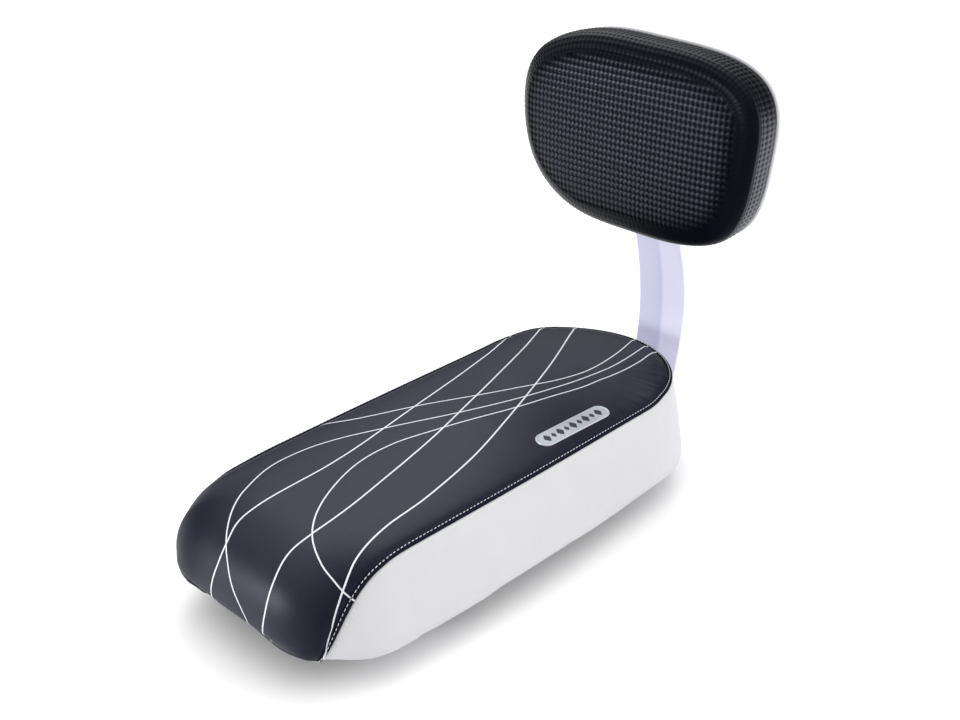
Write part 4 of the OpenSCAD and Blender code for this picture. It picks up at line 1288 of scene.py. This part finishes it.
# ordered border of the lattice
edges = {}
for i, j in zip(ci, cj):
    for a, b in (((i, j), (i + 1, j)), ((i + 1, j), (i + 1, j + 1)), ((i + 1, j + 1), (i, j + 1)), ((i, j + 1), (i, j))):
        va, vb = vid[a], vid[b]
        if (vb, va) in edges:
            del edges[(vb, va)]
        else:
            edges[(va, vb)] = 1
nxt = {a: b for a, b in edges}
start_v = next(iter(nxt))
loop = [start_v]
while nxt[loop[-1]] != start_v:
    loop.append(nxt[loop[-1]])
loop = np.array(loop)

# outer rows: from the roll (inset about LAT - 1.2) over the edge down the wall to the back
NP_ = 5 * int(round(2 * (PA + PB) * 1.66 / PX_ / 2) * 2 / 2)
per = np.linalg.norm(np.diff(np.vstack([pad_ring(2000), pad_ring(2000)[:1]]), axis=0), axis=1).sum()
nb_ = int(round(per / PX_))
NP_ = nb_ * 5
k0 = np.where(pc_[:, 0] < LAT - 1.0)[0][-1]
outer_prof = pc_[:k0]
ol = np.r_[0, np.cumsum(np.linalg.norm(np.diff(outer_prof, axis=0), axis=1))]
nrow = int(ol[-1] / 0.75) + 1
sl = np.linspace(0, ol[-1], nrow)
op = np.stack([np.interp(sl, ol, outer_prof[:, i]) for i in range(2)], 1)
base_ring = pad_ring(NP_)
t2 = tangents(np.c_[base_ring, np.zeros(NP_)], closed=True)[:, :2]
in2 = np.c_[-t2[:, 1], t2[:, 0]]
if ((-base_ring) * in2).sum() < 0:
    in2 = -in2


def inset_ring(g):
    return base_ring + in2 * g


rows_pad, painted_gloss_rows = [], []
opt = np.gradient(op, axis=0)
opt /= np.linalg.norm(opt, axis=1)[:, None]
opn = np.c_[-opt[:, 1], opt[:, 0]]           # points out of the pad
if opn[2, 0] > 0:
    opn = -opn
for r in range(nrow):
    g, y = op[r]
    lw = ol[-1] - sl[r]
    arc_b = np.arange(NP_) / 5.0
    b = sl[r] / (PZ_ * 0.92)
    e = emboss(arc_b, np.full(NP_, b))
    # plain on the roll, embossed on the wall
    left = np.clip(0.5 - base_ring[:, 0] / PA * 0.9, 0, 1)
    upper = np.clip(-in2[:, 1], 0, 1)
    wall = 1 - smoothstep(np.full(NP_, sl[r]), 15.0, 20.0)
    f = np.clip(0.10 + 0.35 * left + 0.5 * upper, 0, 0.8) * (1 - wall) + wall
    f = f * smoothstep(np.array([sl[r]]), 0.6, 2.5)[0]
    # painted highlight and shade: the wall's gloss is raised on the right side and less towards the top, the roll's on
    # the left and upper side, and it is lowered in the pits
    wall_painted_gloss = 0.14 + 0.86 * np.clip(-in2[:, 0], 0, 1) * smoothstep(in2[:, 1], -0.45, 0.15)
    painted_gloss_rows.append((wall_painted_gloss * wall + (0.04 + 0.16 * left + 0.10 * upper) * (1 - wall)) * (1 - f * (1 - pit_of(e))))
    h = AMP * e * f
    # the roll is wide on the left and tight on the right
    k_r = (0.94 - 0.22 * base_ring[:, 0] / PA)
    k_r = k_r + (1 - k_r) * smoothstep(g, 5.0, 12.0)
    if y > 16.6:
        y_r = 16.6 * k_r + (y - 16.6) * (PT - 16.6 * k_r) / (PT - 16.6)
    else:
        y_r = y * k_r
    gg = g * k_r + opn[r, 0] * h
    yy = y_r + opn[r, 1] * h
    p2 = base_ring + in2 * gg[:, None]
    rows_pad.append(np.c_[p2[:, 0], PY + yy, p2[:, 1] + PZ])
rp = np.stack(rows_pad)
nlat = len(lat_v)
pad_v = np.vstack([lat_v, rp.reshape(-1, 3)])
pad_f = lat_f.tolist() + grid_faces(nrow, NP_, start=nlat).tolist()
# zip the lattice's border to the last ring
A_ = loop
Bk = nlat + (nrow - 1) * NP_ + np.arange(NP_)
pa2 = pad_v[A_][:, [0, 2]]
pb2 = pad_v[Bk][:, [0, 2]]
area = 0.5 * np.sum(pa2[:, 0] * np.roll(pa2[:, 1], -1) - np.roll(pa2[:, 0], -1) * pa2[:, 1])
areb = 0.5 * np.sum(pb2[:, 0] * np.roll(pb2[:, 1], -1) - np.roll(pb2[:, 0], -1) * pb2[:, 1])
if area * areb < 0:
    Bk, pb2 = Bk[::-1], pb2[::-1]
j0 = int(np.argmin(np.linalg.norm(pb2 - pa2[0], axis=1)))
Bk, pb2 = np.roll(Bk, -j0), np.roll(pb2, -j0, axis=0)
i = j = 0
na_, nb2 = len(A_), len(Bk)
zipf = []
while i < na_ or j < nb2:
    a, b = A_[i % na_], Bk[j % nb2]
    a2_, b2_ = A_[(i + 1) % na_], Bk[(j + 1) % nb2]
    da = np.linalg.norm(pa2[(i + 1) % na_] - pb2[j % nb2]) if i < na_ else 1e9
    db = np.linalg.norm(pa2[i % na_] - pb2[(j + 1) % nb2]) if j < nb2 else 1e9
    if da <= db:
        zipf.append([int(a), int(a2_), int(b)])
        i += 1
    else:
        zipf.append([int(a), int(b2_), int(b)])
        j += 1
pad_f += zipf
# closed at the back: the cover is folded in behind and ends 18 mm inside
back_rows = []
for g, y in ((3.6, PT + 0.3), (6.0, PT + 0.4), (10.0, PT + 0.4), (14.0, PT + 0.4), (18.0, PT + 0.4), (18.0, PT - 0.6), (8.0, PT - 1.0)):
    p2 = base_ring + in2 * g
    back_rows.append(np.c_[p2[:, 0], np.full(NP_, PY + y - 0.35), p2[:, 1] + PZ])
start_b = len(pad_v)
pad_v = np.vstack([pad_v] + back_rows)
k = np.arange(NP_)
k2 = (k + 1) % NP_
pad_f += np.stack([nlat + k2, nlat + k, start_b + k, start_b + k2], -1).tolist()
pad_f += grid_faces(len(back_rows), NP_, start=start_b, flip=True).tolist()
# inner skin: a plain smooth lining, joined to the last back row
in_rows = []
for g, y in ((4.0, 20.0), (1.6, 14.0), (2.6, 9.0), (6.0, 5.0), (12.0, 1.6), (20.0, 0.0), (32.0, -1.6), (46.0, -2.4), (58.0, -2.7)):
    gg = min(g, 58.0)
    k_ = 1 - gg / 66.5
    p2 = base_ring * k_
    in_rows.append(np.c_[p2[:, 0], np.full(NP_, PY + y + 0.4), p2[:, 1] + PZ])
start_i2 = len(pad_v)
pad_v = np.vstack([pad_v] + in_rows)
lastb = start_b + (len(back_rows) - 1) * NP_
pad_f += np.stack([lastb + k, lastb + k2, start_i2 + k2, start_i2 + k], -1).tolist()
pad_f += grid_faces(len(in_rows), NP_, start=start_i2).tolist()
e0_ = start_i2 + (len(in_rows) - 1) * NP_
pad_f.append([int(e0_ + q) for q in range(NP_)][::-1])
pad = add_mesh("backrest_pad_cover", pad_v, pad_f, [mat_emb])
# painted highlight and shade: the face's gloss rises towards the top and towards the edge, more on the right, and drops
# in the pits
face_painted_gloss = 0.05 + 0.10 * smoothstep(lz, 15, 50) + 0.27 * smoothstep(li, LAT - 1.0, LAT + 9.0 + 5.0 * np.clip(lx / PA, 0, 1))
painted_gloss = np.concatenate([face_painted_gloss * 1.35 * pit_of(em), np.concatenate(painted_gloss_rows), np.full(len(pad_v) - nlat - nrow * NP_, 0.3)])
put_attr(pad, "painted_gloss", painted_gloss)
bm = bmesh.new()
bm.from_mesh(pad.data)
bmesh.ops.recalc_face_normals(bm, faces=bm.faces)
bm.to_mesh(pad.data)
bm.free()

# foam of the pad
fr_rows2 = []
nfp = 200
rf_ring = pad_ring(nfp)
for g, y in ((2.4, 19.0), (1.8, 14.0), (3.2, 9.6), (7.0, 6.0), (13.0, 2.8), (21.0, 1.2), (33.0, -0.4), (46.0, -1.2), (58.0, -1.5)):
    p2 = rf_ring * (1 - g / 66.5)
    fr_rows2.append(np.c_[p2[:, 0], np.full(nfp, PY + y + 1.2), p2[:, 1] + PZ])
fr_rows2[0][:, 1] = PY + 19.9
fv = np.vstack(fr_rows2)
ff = grid_faces(len(fr_rows2), nfp).tolist()
ff += [list(range(nfp))[::-1], [(len(fr_rows2) - 1) * nfp + q for q in range(nfp)]]
pad_foam = add_mesh("backrest_foam_core", fv, ff, [mat_foam])
bm = bmesh.new()
bm.from_mesh(pad_foam.data)
bmesh.ops.recalc_face_normals(bm, faces=bm.faces)
bm.to_mesh(pad_foam.data)
bm.free()

# ------------------------------------------------------------------ hard shell behind the pad
BARF = pb3[0] - BAR_T / 2
NSH = 360
sh_ring = pad_ring(NSH)
t2s = tangents(np.c_[sh_ring, np.zeros(NSH)], closed=True)[:, :2]
in2s = np.c_[-t2s[:, 1], t2s[:, 0]]
if ((-sh_ring) * in2s).sum() < 0:
    in2s = -in2s
sh_out = spline([(1.6, PT + 0.15), (0.5, PT + 0.9), (0.7, PT + 2.4), (2.0, PT + 4.0), (4.6, PT + 5.3), (9.0, PT + 6.0), (14.0, PT + 6.3), (22.0, PT + 6.42), (34.0, PT + 6.44)], 0.6)
sh_in = spline([(3.8, PT + 0.15), (3.9, PT + 1.6), (5.4, PT + 2.8), (9.0, PT + 3.7), (16.0, PT + 4.0), (34.0, PT + 4.1)], 1.5)


def shell_rows(prof):
    out = []
    for g, y in prof:
        if g <= 12:
            p2 = sh_ring + in2s * g
        else:
            q = sh_ring + in2s * 12
            p2 = q * (1 - (g - 12) / 54.0)
        out.append(np.c_[p2[:, 0], np.full(NSH, PY + y), p2[:, 1] + PZ])
    return out


so_, si_ = shell_rows(sh_out), shell_rows(sh_in)
cap_y = [0.62, 0.42, 0.22]


def shell_mid(rows_, y):
    basis = rows_[-1]
    c = np.array([0, 0, PZ])
    out = []
    for f in cap_y:
        q = basis.copy()
        q[:, 0] *= f
        q[:, 2] = PZ + (q[:, 2] - PZ) * f
        out.append(q)
    return out


so_ += shell_mid(so_, 0)
si_ += shell_mid(si_, 0)
rows_s = si_[::-1] + so_
vsh = np.vstack(rows_s)
fsh = grid_faces(len(rows_s), NSH).tolist()
fsh += [list(range(NSH))[::-1], [(len(rows_s) - 1) * NSH + q for q in range(NSH)]]
shell = add_mesh("backrest_hard_shell", vsh, fsh, [mat_shell], sharp=60)
bm = bmesh.new()
bm.from_mesh(shell.data)
bmesh.ops.recalc_face_normals(bm, faces=bm.faces)
bm.to_mesh(shell.data)
bm.free()

# ------------------------------------------------------------------ the far front shoulder, eased
def ease(ob):
    p = co_of(ob)
    way = np.array([-0.726, -0.254, 0.624])
    out = np.zeros(len(p))
    for c, r_e, amt in (((-64, -157, 41), 14.0, 1.6), ((-66, -133, 49.5), 14.0, -1.6), ((-58, 138, 50), 18.0, 2.5)):
        out += amt * np.exp(-((p - np.array(c)) ** 2).sum(1) / (2 * r_e * r_e))
    tip = 3.6 * np.exp(-((p - np.array([-53, -176, 1])) ** 2).sum(1) / (2 * 7.5 * 7.5))
    p = to_m(p + way * out[:, None] + np.array([-0.25, -0.97, 0]) * tip[:, None])
    ob.data.vertices.foreach_set("co", p.astype(np.float32).ravel())
    ob.data.update()


for ob in [top_panel, front_fold, welt, side_band, stitch, foam] + lines:
    ease(ob)

# ------------------------------------------------------------------ riding on the root body, standing in for CAD parts
def fit_piece(ob, slot, *nodes):
    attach(ob, "root")
    if nodes:
        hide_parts(*nodes)


fit_piece(top_panel, "black_leather", "seat_top_cover")
fit_piece(front_fold, "black_leather")
fit_piece(welt, "black_leather")
fit_piece(side_band, "white_leather", "seat_side_band")
fit_piece(stitch, "white_leather")
for ob in lines:
    fit_piece(ob, "white_leather")
fit_piece(badge, "badge", "seat_badge")
fit_piece(badge_ink, "badge")
fit_piece(foam, "foam", "seat_foam")
fit_piece(bar, "bar_paint", "backrest_bar")
fit_piece(pad, "embossed_leather", "backrest_cover")
fit_piece(pad_foam, "foam", "backrest_foam")
fit_piece(shell, "shell_plastic", "backrest_shell")


def paint(name, mat):
    ob = NODE[name]
    if ob.material_slots:
        for s in ob.material_slots:
            s.material = mat
    else:
        ob.data.materials.append(mat)


for name, mat in {
    "seat_board": mat_ply, "seat_liner": mat_liner, "seat_staples": mat_staple,
    "clamp_t_nuts": mat_yellow, "bar_t_nuts": mat_yellow, "clamp_plate_front": mat_plate,
    "clamp_plate_rear": mat_plate, "clamp_bolts": mat_zinc, "clamp_washers": mat_zinc,
    "clamp_spring_washers": mat_spring, "bar_bolts": mat_zinc, "bar_washers": mat_zinc,
    "backrest_board": mat_ply, "backrest_staples": mat_staple, "backrest_t_nuts": mat_yellow,
    "backrest_bolts": mat_zinc, "backrest_washers": mat_zinc,
    "seat_top_cover": mat_black, "seat_side_band": mat_white, "seat_foam": mat_foam,
    "seat_badge": mat_badge, "backrest_bar": mat_bar, "backrest_cover": mat_emb,
    "backrest_foam": mat_foam, "backrest_shell": mat_shell,
}.items():
    paint(name, mat)

# ------------------------------------------------------------------ floor and light
fl_me = bpy.data.meshes.new("floor")
fl_me.from_pydata([(-9, -9, 0), (9, -9, 0), (9, 9, 0), (-9, 9, 0)], [], [(0, 1, 2, 3)])
floor = bpy.data.objects.new("floor", fl_me)
bpy.context.scene.collection.objects.link(floor)
mat_floor, nt_fl, bs_fl = new_mat("floor_white", (0.93, 0.93, 0.935), 0.9)
bs_fl.inputs["Specular IOR Level"].default_value = 0.1
v = coords(nt_fl)
nt_fl.links.new(ramp(nt_fl, noise(nt_fl, v, 3.0, 2.0), [(0.3, (0.925, 0.925, 0.93)), (0.7, (0.935, 0.935, 0.94))]), bs_fl.inputs["Base Color"])
fl_me.materials.append(mat_floor)

world = bpy.data.worlds.new("studio")
bpy.context.scene.world = world
world.use_nodes = True
wt = world.node_tree
bg = wt.nodes["Background"]
bg.inputs["Color"].default_value = (1.0, 1.0, 1.0, 1)
# a studio dome: bright overhead, dim towards the horizon
axis = wt.nodes.new("ShaderNodeSeparateXYZ")
wt.links.new(node(wt, "ShaderNodeTexCoord").outputs["Generated"], axis.inputs[0])
zz = math_node(wt, "MAXIMUM", axis.outputs["Z"], 0.0)
wt.links.new(math_node(wt, "MULTIPLY_ADD", math_node(wt, "MULTIPLY", zz, zz), 2.0, 0.18), bg.inputs["Strength"])


def area(name, loc, target, size, power, color=(1, 1, 1), size_y=None):
    d = bpy.data.lights.new(name, "AREA")
    d.energy = power
    d.color = color
    d.shape = "RECTANGLE"
    d.size = size
    d.size_y = size_y or size
    o = bpy.data.objects.new(name, d)
    bpy.context.scene.collection.objects.link(o)
    o.location = loc
    o.rotation_mode = "QUATERNION"
    o.rotation_quaternion = (Vector(target) - Vector(loc)).to_track_quat("-Z", "Y")
    return o


area("key_top", (-0.85, 0.95, 1.5), (0, 0, 0.05), 1.4, 10.0, (1, 1, 1), 1.4)
area("soft_front_left", (-0.51, -1.25, 0.22), (0.03, -0.17, 0.06), 0.36, 9.0, (1, 1, 1), 0.28)
area("soft_right", (1.5, -0.9, 0.6), (0, 0.1, 0.15), 0.8, 1.6)
area("soft_rear_right", (1.3, 1.0, 0.6), (0, 0.12, 0.08), 0.8, 9.0)

scn = bpy.context.scene
scn.view_settings.view_transform = "Standard"
scn.view_settings.look = "None"
scn.view_settings.exposure = 0.0
scn.view_settings.gamma = 1.0
